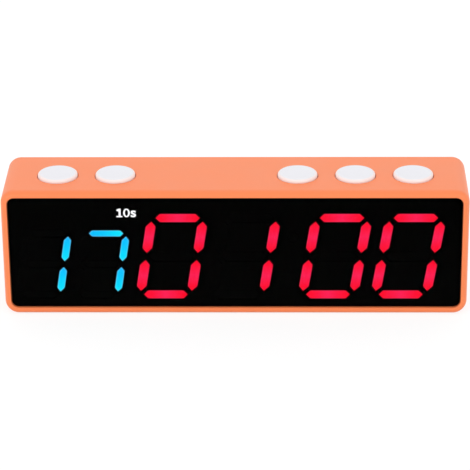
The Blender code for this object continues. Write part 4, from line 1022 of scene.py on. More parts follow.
    def holes(self) -> Shape:
        """The screw holes, the insert's hole and the five holes in the top.

        Returns:
            The shape.
        """
        shape, rest = Shape(), self.bore_rest
        for kind in SCREW_KINDS:
            for low, high, spot in numbered(kind.name):
                if kind.facing is Facing.BACK:
                    shape.pin(self.bore, Axis.Y, (spot.x, spot.z), (low.y - rest, high.y), Sides.BORE)
                else:
                    shape.pin(self.bore, Axis.Z, (spot.x, spot.y), (low.z - rest, high.z + rest), Sides.BORE)
        width, height = self.insert
        shape.pin(width, Axis.Z, (0.0, 0.0), (-GAP, height), Sides.BOSS)
        radius, edge, top = self.cap_hole, self.cap_edge, self.high.z
        start = self.inside()[1][1] - GAP
        profile = [(0, start), (radius, start), (radius, top - edge)]
        profile += arc((radius + edge, top - edge), (edge, edge), 2, 1, self.edge_steps)
        profile += [(radius + edge, top + GAP), (0, top + GAP)]
        for *_, spot in numbered("button_cap"):
            shape.turned(profile, Axis.Z, (spot.x, spot.y), Sides.CAP)
        return shape

    def build(self) -> None:
        """Make the casing and let it stand for its node."""
        case = self.outside().piece("casing_shell", SHELL)
        hollow = around(self.low, self.high, -self.wall, self.corner - self.wall, self.steps)
        carve(case, Shape().prism(hollow, Axis.Y, (self.rail[1], self.high.y + self.wall)))
        front, edge, (side, below, above), rings = self.low.y, self.chamfer, self.lip, []
        for y, grow in ((front - edge, 2 * edge), (front + edge, 0.0), (self.rail[0], 0.0)):
            x = (self.low.x + side - grow, self.high.x - side + grow)
            z = (self.low.z + below - grow, self.high.z - above + grow)
            rings.append([(u, y, v) for u, v in rounded(x, z, self.opening_corner + grow, self.steps)])
        carve(case, Shape().loft(rings))
        low, high, _ = extent("digit_mask")
        seat = around(low, high, GAP, self.mask_corner)
        carve(case, Shape().prism(seat, Axis.Y, spread(sum(self.rail) / 2, self.mask_depth)))
        carve(case, self.fittings(), Carving.JOIN)
        carve(case, self.holes())
        publish(case, "orange_shell", "main_case")


# Window and figures


@dataclass
class Window:
    """The smoked panel and the black border printed on its back."""

    corner: float = 2.7 * MM
    steps: int = 14
    edge: float = 0.15 * MM
    border_side: float = 1.0 * MM
    border_below: float = 2.2 * MM
    border_above: float = 2.4 * MM
    border_corner: float = 1.0 * MM
    print_limits: Limits = (-15.60 * MM, -15.54 * MM)

    def build(self) -> None:
        """Make the panel and its border."""
        low, high, _ = extent("window_panel")
        outline = around(low, high, 0.0, self.corner, self.steps)
        panel = Shape().prism(outline, Axis.Y, (low.y, high.y), self.edge).piece("window_glazing", SMOKE)
        publish(panel, "smoked_window", "window_panel")
        border = Shape().prism(outline, Axis.Y, self.print_limits).piece("window_border", PRINT)
        x = (low.x + self.border_side, high.x - self.border_side)
        z = (low.z + self.border_below, high.z - self.border_above)
        start, end = self.print_limits
        carve(border, Shape().prism(rounded(x, z, self.border_corner), Axis.Y, (start - GAP, end + GAP)))
        publish(border, "smoked_window")


@dataclass
class Figures:
    """A group of leaning figures of seven strokes, some of them lit."""

    color: str
    shown: str
    finish: Finish
    x: tuple[float, ...]
    z: float
    span: float
    rise: float
    stroke: float
    level_gap: float
    upright_gap: float
    point: float
    dots: tuple[Point, ...] = ()
    dot: float = 4.0 * MM
    dot_edge: float = 0.1 * MM
    lean: float = 0.159
    slope: float = 0.98
    front: float = -15.38 * MM
    back: float = -9.0 * MM
    web: Limits = (-9.35 * MM, -8.55 * MM)
    web_rim: float = 0.7 * MM
    inset: float = 0.12 * MM
    level_inset: float = 0.26 * MM
    rim: float = 0.30 * MM
    sharp: float = 40.0

    LETTERS = {"0": "abcdef", "1": "bc", "7": "abc"}
    PLACES = {"a": (0, 2), "b": (1, 1), "c": (1, -1), "d": (0, -2), "e": (-1, -1), "f": (-1, 1), "g": (0, 0)}

    def add_stroke(self, shape: Shape, x: float, side: int, quarters: int) -> None:
        """Add one stroke with its points and its pale rim, and write its run and its rim to the map.

        Args:
            shape: The shape that takes it. Its faces on the sides and the back get the second finish.
            x: Where the figure's middle is.
            side: 1 or -1 for an upright stroke at the right or the left, and 0 for a level one.
            quarters: How high its middle is above the figure's, in quarters of the figure's rise.
        """
        level, thick, height = side == 0, self.stroke / 2, quarters * self.rise / 4
        half = (self.span - self.level_gap if level else self.rise / 2 - self.upright_gap) / 2
        point = thick * self.slope if level else self.point
        across, up = x + side * self.span / 2 + self.lean * height, self.z + height
        run = shape.mesh.loops.layers.uv.get(RUN) or shape.mesh.loops.layers.uv.new(RUN)
        rings = []
        for rim, y, edge in ((0.0, self.back, 1.0), (0.0, self.front, 1.0), (self.rim, self.front, 0.0)):
            inset = rim + (self.level_inset if level else self.inset)
            tip, out = half - inset * math.hypot(point, thick) / thick, thick - inset
            near = tip - out * point / thick
            ring = []
            for u, v in ((tip, 0.0), (near, out), (-near, out), (-tip, 0.0), (-near, -out), (near, -out)):
                place = (across - u, y, up + v) if level else (across + v + self.lean * u, y, up + u)
                ring.append((shape.mesh.verts.new(place), (u / half + 1) / 2, edge))
            rings.append(ring)
        faces = [(rings[0][::-1], 1), (rings[2], 0)]
        for first, second, slot in ((rings[0], rings[1], 1), (rings[1], rings[2], 0)):
            for i in range(len(first)):
                j = (i + 1) % len(first)
                faces.append(((first[i], first[j], second[j], second[i]), slot))
        for corners, slot in faces:
            face = shape.mesh.faces.new([corner[0] for corner in corners])
            face.material_index = slot
            for loop, (_, along, edge) in zip(face.loops, corners):
                loop[run].uv = (along, edge)

    def build(self) -> None:
        """Make the lit strokes, and the dark ones with the web that carries them all."""
        lit, dark = Shape(), Shape()
        for x, letter in zip(self.x, self.shown):
            for name, (side, quarters) in self.PLACES.items():
                self.add_stroke(lit if name in self.LETTERS[letter] else dark, x, side, quarters)
        radius, edge = self.dot / 2, self.dot_edge
        for spot in self.dots:
            profile = [(0, self.back), (radius, self.back), (radius, self.front + edge)]
            dark.turned([*profile, (radius - edge, self.front), (0, self.front)], Axis.Y, spot, Sides.PLAIN)
        half, side = self.rise / 2 + self.web_rim, self.span / 2
        left, right = self.x[0] - side - self.web_rim, self.x[-1] + side + self.web_rim
        outline = [(x - self.lean * half, self.z - half) for x in (left, right)]
        dark.prism([*outline, *((x + self.lean * half, self.z + half) for x in (right, left))], Axis.Y, self.web)
        for name, shape, finish in (("lit", lit, self.finish), ("dark", dark, DARK_STROKE)):
            piece = shape.piece(f"{self.color}_strokes_{name}", finish, DARK_STROKE)
            publish(piece, f"{self.color}_light", f"{self.color}_light_guide", angle=self.sharp)


@dataclass
class Legend:
    """The small lit legend between the two groups of figures: the lead-in time in seconds."""

    front: float = -15.45 * MM
    thick: float = 0.05 * MM
    low: float = -1.57 * MM
    high: float = 2.09 * MM
    one: Limits = (-3.85 * MM, -1.48 * MM)
    stem: Limits = (-2.94 * MM, -2.15 * MM)
    foot: float = 0.50 * MM
    flag: tuple[Point, ...] = ((0.15 * MM, 0.0), (-0.86 * MM, -0.5 * MM), (-0.81 * MM, -0.95 * MM), (0.0, -1.15 * MM))
    zero: Limits = (-1.14 * MM, 1.48 * MM)
    bowl: tuple[float, float] = (0.66 * MM, 0.47 * MM)
    zero_steps: int = 40
    unit: Limits = (1.80 * MM, 3.91 * MM)
    unit_high: float = 1.28 * MM
    text_size: float = 5 * MM
    weight: float = 0.07 * MM
    plate_edge: float = 0.1 * MM

    def figures(self) -> tuple[Piece, Piece]:
        """The one, with a flag and a flat foot, and the zero, an oval with an oval hole.

        Returns:
            The two pieces.
        """
        (start, end), (left, right), foot, top = self.one, self.stem, self.low + self.foot, self.high
        outline = [(start, self.low), (end, self.low), (end, foot), (right, foot), (right, top)]
        outline += [*((left + across, top + up) for across, up in self.flag), (left, foot), (start, foot)]
        one = self.lift(outline).piece("legend_one", LIT_WHITE)
        (left, right), (across, up), steps = self.zero, self.bowl, self.zero_steps
        middle, reach = ((left + right) / 2, (self.low + top) / 2), ((right - left) / 2, (top - self.low) / 2)
        zero = self.lift(arc(middle, reach, 0, 4, steps)[:-1]).piece("legend_zero", LIT_WHITE)
        bowl = arc(middle, (reach[0] - across, reach[1] - up), 0, 4, steps)[:-1]
        carve(zero, self.lift(bowl, GAP))
        return one, zero

    def lift(self, outline: Sequence[Point], grow: float = 0.0) -> Shape:
        """A flat shape in front of the plate.

        Args:
            outline: Its outline about the plate's middle.
            grow: How much thicker it is made on each side.

        Returns:
            The shape.
        """
        spot = extent("lead_in_legend")[2]
        placed = [(spot.x + u, spot.z + v) for u, v in outline]
        return Shape().prism(placed, Axis.Y, (self.front - grow, self.front + self.thick + grow))

    def unit_letter(self) -> Piece:
        """The letter of the unit, from a plain sans serif, fitted to its place.

        Returns:
            The piece.
        """
        text = bpy.data.curves.new("legend_text", "FONT")
        text.body, text.size, text.offset, text.extrude = "s", self.text_size, self.weight, self.thick / 2
        source = show("legend_text", text)
        bpy.context.view_layer.update()
        mesh = settled(source)
        bpy.data.objects.remove(source, do_unlink=True)
        spot = extent("lead_in_legend")[2]
        points = [vertex.co.copy() for vertex in mesh.vertices]
        (left, right), (below, above), _ = ((min(values), max(values)) for values in zip(*points))
        wide, tall = self.unit[1] - self.unit[0], self.unit_high - self.low
        for vertex, point in zip(mesh.vertices, points):
            across = self.unit[0] + (point.x - left) / (right - left) * wide
            up = self.low + (point.y - below) / (above - below) * tall
            vertex.co = (spot.x + across, self.front - point.z, spot.z + up)
        mesh.materials.clear()
        mesh.materials.append(LIT_WHITE.material())
        return show("legend_unit", mesh)

    def build(self) -> None:
        """Make the dark plate and the lit shapes on it."""
        low, high, _ = extent("lead_in_legend")
        shape = Shape().box((low.x, high.x), (low.y + self.thick, high.y), (low.z, high.z))
        publish(shape.piece("legend_plate", MASK), "legend_white", "lead_in_legend", edge=self.plate_edge)
        for piece in (*self.figures(), self.unit_letter()):
            if RUN not in piece.data.uv_layers:
                piece.data.uv_layers.new(name=RUN)
            publish(piece, "legend_white", angle=0.0)


# Buttons


@dataclass
class Buttons:
    """The five round caps in the top, each on its own body."""

    radius: float = 7.94 * MM
    round: float = 1.1 * MM
    rim: float = 0.05 * MM
    step: float = 0.12 * MM
    slope: float = 0.9 * MM
    dish: float = 0.15 * MM
    face: float = 7.2 * MM
    wall: float = 1.4 * MM
    lip: float = 1.25 * MM
    lip_levels: Limits = (49.8 * MM, 51.0 * MM)
    stem: float = 4.2 * MM
    steps: int = Sides.CAP
    round_steps: int = 10
    sharp: float = 40.0
    slope_steps: int = 8

    def profile(self, low: float, high: float) -> list[Point]:
        """Half the section of a cap.

        Args:
            low: Its lowest level.
            high: Its highest level.

        Returns:
            Pairs of radius and level.
        """
        (lip_low, lip_high), stem, inner = self.lip_levels, self.stem / 2, self.radius - self.wall
        ceiling = high - self.step - self.wall
        profile = [(0, low), (stem, low), (stem, ceiling), (inner, ceiling), (inner, lip_low)]
        profile += [(self.radius + self.lip, lip_low), (self.radius + self.lip, lip_high), (self.radius, lip_high)]
        middle, shares = self.radius - self.round, [i / self.slope_steps for i in range(self.slope_steps + 1)]
        profile += arc((middle, high - self.round), (self.round, self.round), 0, 1, self.round_steps)
        edge = middle - self.rim
        for share in shares:
            fall = self.step * (1 - math.cos(math.pi * share)) / 2
            profile.append((edge - self.slope * share, high - fall))
        for share in shares[1:]:
            depth = self.dish * math.sin(math.pi / 2 * share)
            profile.append(((edge - self.slope) * (1 - share), high - self.step - depth))
        return profile

    def build(self) -> None:
        """Make the caps."""
        for number, (low, high, spot) in enumerate(numbered("button_cap"), start=1):
            shape = Shape().turned(self.profile(low.z, high.z), Axis.Z, (spot.x, spot.y), self.steps)
            cap = shape.piece(f"cap_{number}", CAP, CAP_FACE)
            for part in cap.data.polygons:
                across = Vector((part.center.x - spot.x, part.center.y - spot.y))
                # The face gets CAP_FACE; the rim and side get CAP, tinted with painted bounce light from the orange
                # casing.
                part.material_index = int(across.length < self.face and part.center.z > high.z - self.wall)
            publish(cap, "cap_white", f"button_cap_{number}", body=f"button_{number}", angle=self.sharp)


# Small hardware


@dataclass
class Screws:
    """The pan-head screws, each with a cross recess and a coarse thread."""

    head: float = 2.0 * MM
    head_height: float = 1.0 * MM
    head_side: float = 0.35
    head_flat: float = 0.45
    head_steps: int = 6
    shank: float = 0.9 * MM
    length: float = 5.0 * MM
    pitch: float = 0.7 * MM
    flank: tuple[float, float] = (0.2, 0.45)
    taper: tuple[float, float] = (0.45, 0.3)
    root: float = 0.72
    neck: float = 0.8
    neck_length: float = 0.4 * MM
    slot: float = 0.5 * MM
    cross: float = 0.62
    cross_narrow: float = 0.45
    cross_floor: float = 0.15
    proud: float = 0.1 * MM
    turn: float = 0.35
    sharp: float = 38.0

    def blank(self) -> bpy.types.Mesh:
        """A screw with its seat at the origin and its head up.

        Returns:
            The mesh.
        """
        profile, (early, late), (tip, gain) = [(0.0, -self.length)], self.flank, self.taper
        for i in range(int(self.length / self.pitch) - 1):
            start, grow = -self.length + self.pitch * (i + early), min(1.0, tip + i * gain)
            profile += [(self.shank * self.root * grow, start), (self.shank * grow, start + self.pitch * late)]
        neck, head, height = self.shank * self.neck, self.head, self.head_height
        flat, side = head * self.head_flat, height * self.head_side
        profile += [(neck, -self.neck_length), (neck, 0.0), (head, 0.0)]
        profile += [*arc((flat, side), (head - flat, height - side), 0, 1, self.head_steps), (0.0, height)]
        screw = Shape().turned(profile, Axis.Z, (0.0, 0.0), Sides.PLAIN).piece("screw", STEEL)
        cross, wide, half, narrow = Shape(), head * self.cross, self.slot / 2, self.cross_narrow
        for x, y in ((wide, half), (half, wide)):
            upper = [(x * u, y * v, height + self.proud) for u, v in ((-1, -1), (1, -1), (1, 1), (-1, 1))]
            cross.loft([[(u * narrow, v * narrow, height * self.cross_floor) for u, v, _ in upper], upper])
        carve(screw, cross)
        soften(screw, angle=self.sharp)
        mesh = screw.data
        bpy.data.objects.remove(screw, do_unlink=True)
        return mesh

    def build(self) -> None:
        """Put a screw in each place."""
        blank = self.blank()
        for kind in SCREW_KINDS:
            for number, (low, high, seat) in enumerate(numbered(kind.name), start=1):
                if kind.facing is Facing.BACK:
                    seat.y = high.y - self.head_height
                elif kind.facing is Facing.UP:
                    seat.z = high.z - self.head_height
                else:
                    seat.z = low.z + self.head_height
                mesh = blank.copy()
                mesh.materials.clear()
                mesh.materials.append(kind.finish.material())
                turn = kind.facing.turn() @ Matrix.Rotation(self.turn * number, 4, "Z")
                mesh.transform(Matrix.Translation(seat) @ turn)
                screw = show(f"{kind.name}_cross_{number}", mesh)
                publish(screw, kind.slot, f"{kind.name}_{number}", angle=0.0)


@dataclass
class Fasteners:
    """The magnets and the brass sleeve."""

    edge: float = 0.25 * MM
    worn: float = 0.15
    bore: float = 2.65 * MM
    lead_in: float = 0.6 * MM
    sleeve_edge: float = 0.2 * MM
    pitch: float = 1.27 * MM
    thread: float = 0.45 * MM

    def magnets(self) -> None:
        """Plated discs with rounded edges."""
        edge, worn = self.edge, self.worn
        for number, (low, high, spot) in enumerate(numbered("magnet"), start=1):
            radius, back = (high.x - low.x) / 2, high.y
            profile = [(0, low.y), (radius - edge, low.y), (radius, low.y + edge), (radius, back - edge)]
            profile += [(radius - edge * worn, back - edge * (1 - worn)), (radius - edge * (1 - worn), back)]
            disc = Shape().turned([*profile, (0, back)], Axis.Y, (spot.x, spot.z), Sides.DISC)
            publish(disc.piece(f"magnet_disc_{number}", NICKEL), "nickel", f"magnet_{number}")

    def sleeve(self) -> None:
        """The turned sleeve with its screw thread."""
        low, high, _ = extent("tripod_insert")
        outer, bore, level, edge = (high.x - low.x) / 2, self.bore, low.z + self.lead_in, self.sleeve_edge
        profile = [(outer - edge, high.z), (outer, high.z - edge), (outer, low.z + edge / 2)]
        profile += [(outer - edge / 2, low.z), (bore + self.lead_in, low.z), (bore, level)]
        while level + self.pitch < high.z - edge:
            profile += [(bore + self.thread, level + self.pitch / 2), (bore, level + self.pitch)]
            level += self.pitch
        profile.append((bore, high.z))
        sleeve = Shape().turned(profile, Axis.Z, (0.0, 0.0), Sides.CUP, ring=True).piece("sleeve_threaded", BRASS)
        publish(sleeve, "brass", "tripod_insert")

    def build(self) -> None:
        """Make both."""
        self.magnets()
        self.sleeve()


# Back cover and socket


@dataclass
class BackCover:
    """The plate that closes the back, with its cups, its ring, its holes and the socket's slot."""

    corner: float = 3.0 * MM
    edge: float = 0.25 * MM
    plate: float = 2.0 * MM
    sunk: float = 1.0 * MM
    cup: float = 6.5 * MM
    recess: tuple[Point, ...] = ((5.3, -0.2), (5.6, 0.1), (0.0, 0.1))
    ring: Limits = (10.3 * MM, 11.5 * MM)
    ring_height: float = 2.2 * MM
    sound_pitch: float = 3.2 * MM
    sound_hole: tuple[Point, ...] = ((0.75, -0.15), (0.95, 0.05), (0.0, 0.05))
    slot_corner: float = 1.6 * MM
    slot_edge: tuple[Point, ...] = ((0.0, -0.2), (0.3, 0.1))
    screw_hole: float = 1.2 * MM
    screw_head: tuple[Point, ...] = ((2.3, -0.1), (2.45, 0.05), (0.0, 0.05))
    screw_seat: float = 1.3 * MM

    def bodies(self, start: float, face: float) -> Shape:
        """The magnets' cups and the sounder's ring.

        Args:
            start: The level of the cups' ends.
            face: The level of the plate's inner face.

        Returns:
            The shape.
        """
        shape, end = Shape(), face + self.sunk
        for *_, spot in numbered("magnet"):
            shape.pin(2 * self.cup, Axis.Y, (spot.x, spot.z), (start, end), Sides.CUP)
        (inner, outer), low, sounder = self.ring, face - self.ring_height, extent("buzzer")[2]
        profile = [(inner, low), (outer, low), (outer, end), (inner, end)]
        return shape.turned(profile, Axis.Y, (sounder.x, sounder.z), Sides.DISC, ring=True)

    def holes(self, face: float, back: float) -> Shape:
        """The magnets' recesses, the sounder's holes, the socket's slot and the screws' holes.

        Args:
            face: The level of the plate's inner face.
            back: The level of its outer face.

        Returns:
            The shape.
        """
        shape, start = Shape(), face - GAP
        for low, _, spot in numbered("magnet"):
            profile, floor = stepped(back, self.recess), low.y - GAP
            shape.turned([(0, floor), (profile[0][0], floor), *profile], Axis.Y, (spot.x, spot.z), Sides.DISC)
        spot, profile = extent("buzzer")[2], stepped(back, self.sound_hole)
        for place in ((spot.x, spot.z), *circle((spot.x, spot.z), self.sound_pitch, 6)):
            shape.turned([(0, start), (profile[0][0], start), *profile], Axis.Y, place, Sides.SMALL)
        low, high, _ = extent("usb_shell")
        rings = []
        for more, y in ((0.0, start), *stepped(back, self.slot_edge)):
            rings.append([(u, y, v) for u, v in around(low, high, GAP + more, self.slot_corner + more)])
        shape.loft(rings)
        narrow, head = self.screw_hole, stepped(back, self.screw_head)
        for _, high, spot in numbered("rear_screw"):
            seat = high.y - self.screw_seat
            profile = [(0, start), (narrow, start), (narrow, seat), (head[0][0], seat), *head]
            shape.turned(profile, Axis.Y, (spot.x, spot.z), Sides.SEAT)
        return shape

    def build(self) -> None:
        """Make the cover."""
        low, high, _ = extent("rear_cover")
        face = high.y - self.plate
        outline = around(low, high, 0.0, self.corner)
        cover = Shape().prism(outline, Axis.Y, (face, high.y), self.edge).piece("back_cover", SHELL)
        carve(cover, self.bodies(low.y, face), Carving.JOIN)
        carve(cover, self.holes(face, high.y))
        publish(cover, "orange_shell", "rear_cover")


@dataclass
class Socket:
    """The charging socket: a drawn steel shell round a tongue with gold contacts."""

    wall: float = 0.3 * MM
    corner: float = 1.3 * MM
    edge: float = 0.05 * MM
    base: float = 1.4 * MM
    base_corner: float = 0.7 * MM
    base_steps: int = 8
    tongue_steps: int = 4
    tongue: tuple[float, float] = (6.6 * MM, 0.7 * MM)
    tongue_corner: float = 0.2 * MM
    tongue_edge: float = 0.08 * MM
    contact: tuple[float, float] = (0.26 * MM, 0.06 * MM)
    contact_ends: Limits = (1.6 * MM, 0.5 * MM)
    contacts: int = 12
    pitch: float = 0.5 * MM

    def build(self) -> None:
        """Make the shell, the tongue and the contacts."""
        low, high, _ = extent("usb_shell")
        outer = around(low, high, 0.0, self.corner)
        shell = Shape().prism(outer, Axis.Y, (low.y, high.y), self.edge).piece("socket_shell", STEEL)
        inner = around(low, high, -self.wall, self.corner - self.wall)
        carve(shell, Shape().prism(inner, Axis.Y, (low.y + self.wall, high.y + self.wall)))
        publish(shell, "steel", "usb_shell")
        low, high, middle = extent("usb_tongue")
        base = around(low, high, 0.0, self.base_corner, self.base_steps)
        tongue = Shape().prism(base, Axis.Y, (low.y, low.y + self.base)).piece("socket_tongue", BLACK)
        width, height = self.tongue
        blade = rounded(spread(middle.x, width), spread(middle.z, height), self.tongue_corner, self.tongue_steps)
        blade = Shape().prism(blade, Axis.Y, (low.y + self.base / 2, high.y), self.tongue_edge)
        carve(tongue, blade, Carving.JOIN)
        publish(tongue, "dark_plastic", "usb_tongue")
        contacts, (wide, thick), (first, last) = Shape(), self.contact, self.contact_ends
        for i in range(self.contacts):
            x = spread(middle.x + (i - (self.contacts - 1) / 2) * self.pitch, wide)
            for side in (-1, 1):
                contacts.box(x, (low.y + first, high.y - last), spread(middle.z + side * height / 2, thick))
        publish(contacts.piece("socket_contacts", GOLD), "brass", angle=0.0)


# Pieces inside


@dataclass
class Switches:
    """The five switches: a black base under a riveted steel cover, with a bore for the plunger."""

    base_edge: float = 0.1 * MM
    cover: float = 0.4 * MM
    cover_corner: float = 0.4 * MM
    cover_edge: float = 0.08 * MM
    seam: float = 0.03 * MM
    bore: float = 4.0 * MM
    bore_depth: float = 2.1 * MM
    rivet: float = 0.7 * MM
    rivet_place: float = 2.35 * MM
    rivet_levels: Limits = (-0.02 * MM, 0.12 * MM)

    def build(self) -> None:
        """Make them, and all their rivets in one piece."""
        rivets = Shape()
        for number, (low, high, middle) in enumerate(numbered("switch_body"), start=1):
            split, centre = high.z - self.cover, (middle.x, middle.y)
            x, y = (low.x, high.x), (low.y, high.y)
            shape = Shape().box(x, y, (low.z, split - self.seam), self.base_edge)
            shape.prism(rounded(x, y, self.cover_corner, 4), Axis.Z, (split, high.z), self.cover_edge)
            switch = shape.piece(f"switch_{number}", BLACK, STEEL)
            carve(switch, Shape().pin(self.bore, Axis.Z, centre, (high.z - self.bore_depth, high.z + GAP)))
            for part in switch.data.polygons:
                across = math.hypot(part.center.x - middle.x, part.center.y - middle.y)
                wall = abs(part.normal.z) < 0.5 and across < self.bore / 2 + self.seam
                part.material_index = int(part.center.z > split and not wall)
            publish(switch, "steel", f"switch_body_{number}")
            levels = tuple(high.z + level for level in self.rivet_levels)
            for side, end in ((-1, -1), (-1, 1), (1, -1), (1, 1)):
                spot = (middle.x + side * self.rivet_place, middle.y + end * self.rivet_place)
                rivets.pin(self.rivet, Axis.Z, spot, levels, Sides.RIVET)
        publish(rivets.piece("switch_rivets", BLACK), "dark_plastic", angle=0.0)


@dataclass
class Chips:
    """The flat chips on the back of the display board, with bent legs along their sides."""

    reach: float = 1.0 * MM
    sheet: float = 0.18 * MM
    margin: float = 0.8 * MM
    leg: float = 0.42
    bends: tuple[float, ...] = (-0.1 * MM, 0.35 * MM, 0.5 * MM, 0.4 * MM, 0.2 * MM)
    edge: float = 0.15 * MM
    mark: float = 0.9 * MM
    mark_place: float = 1.1 * MM
    mark_levels: Limits = (-0.1 * MM, 0.02 * MM)
    fine: float = 0.8 * MM
    coarse: float = 1.27 * MM

    def legs(self, shape: Shape, low: Vector, high: Vector, axis: Axis, pitch: float) -> None:
        """Add the legs along the two sides of a body that look along an axis.

        Args:
            shape: The shape that takes them.
            low: The body's low corner.
            high: Its high corner.
            axis: X or Z.
            pitch: How far apart the legs are.
        """
        board, middle, sheet = low.y - GAP, (low.y + high.y) / 2, self.sheet
        root, top, toe, heel, inner = self.bends
        bent = [(root, middle), (top, middle), (toe, board + sheet), (self.reach, board + sheet)]
        bent += [(self.reach, board), (heel, board), (inner, middle - sheet), (root, middle - sheet)]
        upright = axis is Axis.Z
        start, end = (low.x, high.x) if upright else (low.z, high.z)
        count = int((end - start - self.margin) / pitch) + 1
        for edge, side in (((high.z, 1), (low.z, -1)) if upright else ((high.x, 1), (low.x, -1))):
            points = [(y, edge + side * out) if upright else (edge + side * out, y) for out, y in bent]
            for i in range(count):
                at = (start + end) / 2 + (i - (count - 1) / 2) * pitch
                shape.prism(points, Axis.X if upright else Axis.Z, spread(at, pitch * self.leg))

    def build(self) -> None:
        """Make the three chips."""
        for node, pitch, axes in (
            ("controller_chip", self.fine, (Axis.X, Axis.Z)),
            ("driver_chip_left", self.coarse, (Axis.Z,)),
            ("driver_chip_right", self.coarse, (Axis.Z,)),
        ):
            low, high = (corner.copy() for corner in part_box(node))
            for axis in axes:
                number = "XYZ".index(axis.value)
                low[number] += self.reach
                high[number] -= self.reach
            outline = [(low.x, low.z), (high.x, low.z), (high.x, high.z), (low.x, high.z)]
            shape = Shape().prism(outline, Axis.Y, (low.y, high.y), self.edge)
            body, spot = len(shape.mesh.faces), (low.x + self.mark_place, high.z - self.mark_place)
            start, end = self.mark_levels
            shape.pin(self.mark, Axis.Y, spot, (high.y + start, high.y + end), Sides.SMALL)
            mark = len(shape.mesh.faces)
            for axis in axes:
                self.legs(shape, low, high, axis, pitch)
            for number, face in enumerate(shape.mesh.faces):
                face.material_index = 0 if number < body else 1 if number < mark else 2
            publish(shape.piece(f"{node}_legged", CHIP, BLACK, STEEL), "dark_plastic", node)


@dataclass
class PowerPieces:
    """The cell in its film, and the sounder."""

    tab: tuple[float, float, float] = (0.4 * MM, 5.0 * MM, 8.0 * MM)
    tab_roots: Limits = (0.1 * MM, 0.05 * MM)
    radius: float = 9.2 * MM
    nub: float = 3.1 * MM
    nub_height: float = 0.7 * MM
    edge: float = 0.1 * MM
    ring: float = 7.0 * MM
    ring_depth: float = 0.15 * MM
    ring_reach: float = 0.5 * MM
    fold: float = 0.7 * MM
    fold_steps: int = 5
    band: Limits = (8.0 * MM, 11.5 * MM)
    case_front: float = 0.7 * MM
    case_back: float = 0.4 * MM
    mouth: tuple[Point, ...] = (
        (4.4, 0.0), (4.1, -0.5), (2.2, -0.5), (2.0, -0.2), (1.5, -0.2), (1.4, -2.5), (0.0, -2.5)
    )

    def cell(self) -> None:
        """The cell: a rolled film, a ring round its cap, a printed band and a flat tab at each end."""
        low, high, middle = extent("battery_cell")
        (tab, wide, tall), centre, (first, last) = self.tab, (middle.y, middle.z), self.tab_roots
        left, right = low.x + tab, high.x - tab
        near, far = (right - depth for depth in self.band)
        end, fold, ring, nub, deep = right - self.nub_height, self.fold, self.ring, self.nub, self.ring_depth
        profile = [(0, left + deep), (ring, left + deep), (ring, left)]
        profile += arc((self.radius - fold, left + fold), (fold, fold), 3, 4, self.fold_steps)
        profile += [(self.radius, far), (self.radius, near)]
        profile += arc((self.radius - fold, end - fold), (fold, fold), 0, 1, self.fold_steps)
        profile += [(ring, end), (ring, end - deep), (nub, end - deep)]
        profile += [(nub, right - self.edge), (nub - self.edge, right), (0, right)]
        shape = Shape().turned(profile, Axis.X, centre, Sides.DISC)
        for x in ((low.x, left + first), (right - last, high.x)):
            shape.box(x, spread(centre[0], wide), spread(centre[1], tall))
        cell = shape.piece("cell_wrapped", SLEEVE, STEEL, WHITE)
        for part in cell.data.polygons:
            x, out = part.center.x, math.hypot(part.center.y - centre[0], part.center.z - centre[1])
            metal = out < ring - self.edge
            pale = x > end - self.ring_reach and nub + self.edge < out if metal else far < x < near
            part.material_index = 2 if pale else int(metal)
        publish(cell, "cell_sleeve", "battery_cell")

    def sounder(self) -> None:
        """The sounder: a round case with a stepped hole in the face behind the cover's holes."""
        low, high, middle = extent("buzzer")
        radius, front, back = (high.x - low.x) / 2, self.case_front, self.case_back
        profile = [(0, low.y), (radius - front, low.y), (radius, low.y + front)]
        profile += [(radius, high.y - back), (radius - back, high.y), *stepped(high.y, self.mouth)]
        sounder = Shape().turned(profile, Axis.Y, (middle.x, middle.z), Sides.DISC).piece("sounder_case", BLACK)
        publish(sounder, "dark_plastic", "buzzer")

    def build(self) -> None:
        """Make both."""
        self.cell()
        self.sounder()


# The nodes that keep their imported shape


@dataclass
class Carried:
    """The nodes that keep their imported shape, with the starts of their names for each finish."""

    finishes: tuple[tuple[Finish, tuple[str, ...]], ...] = (
        (FOAM, ("window_tape", "battery_pad")),
        (MASK, ("digit_mask",)),
        (DISPLAY_BOARD, ("display_board",)),
        (BUTTON_BOARD, ("button_board",)),
        (POWER_BOARD, ("power_board",)),
        (BLACK, ("switch_plunger",)),
        (RIBBON, ("button_cable", "power_cable")),
        (CREAM, ("battery_plug",)),
        (LEAD_RED, ("battery_lead_red", "buzzer_lead_red")),
        (LEAD_BLACK, ("battery_lead_black", "buzzer_lead_black")),
    )

    def build(self) -> None:
        """Give each node its finish."""
        for name, node in sorted(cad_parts.items()):
            if node.hide_render:
                continue
            finish = next((finish for finish, starts in self.finishes if name.startswith(starts)), None)
            if finish is None:
                raise ValueError(f"no finish is named for {name}")
            node.data.materials.clear()
            node.data.materials.append(finish.material())
            LOG.info("%s keeps its packed shape, in %s", name, finish.name)


# Floor, light and camera


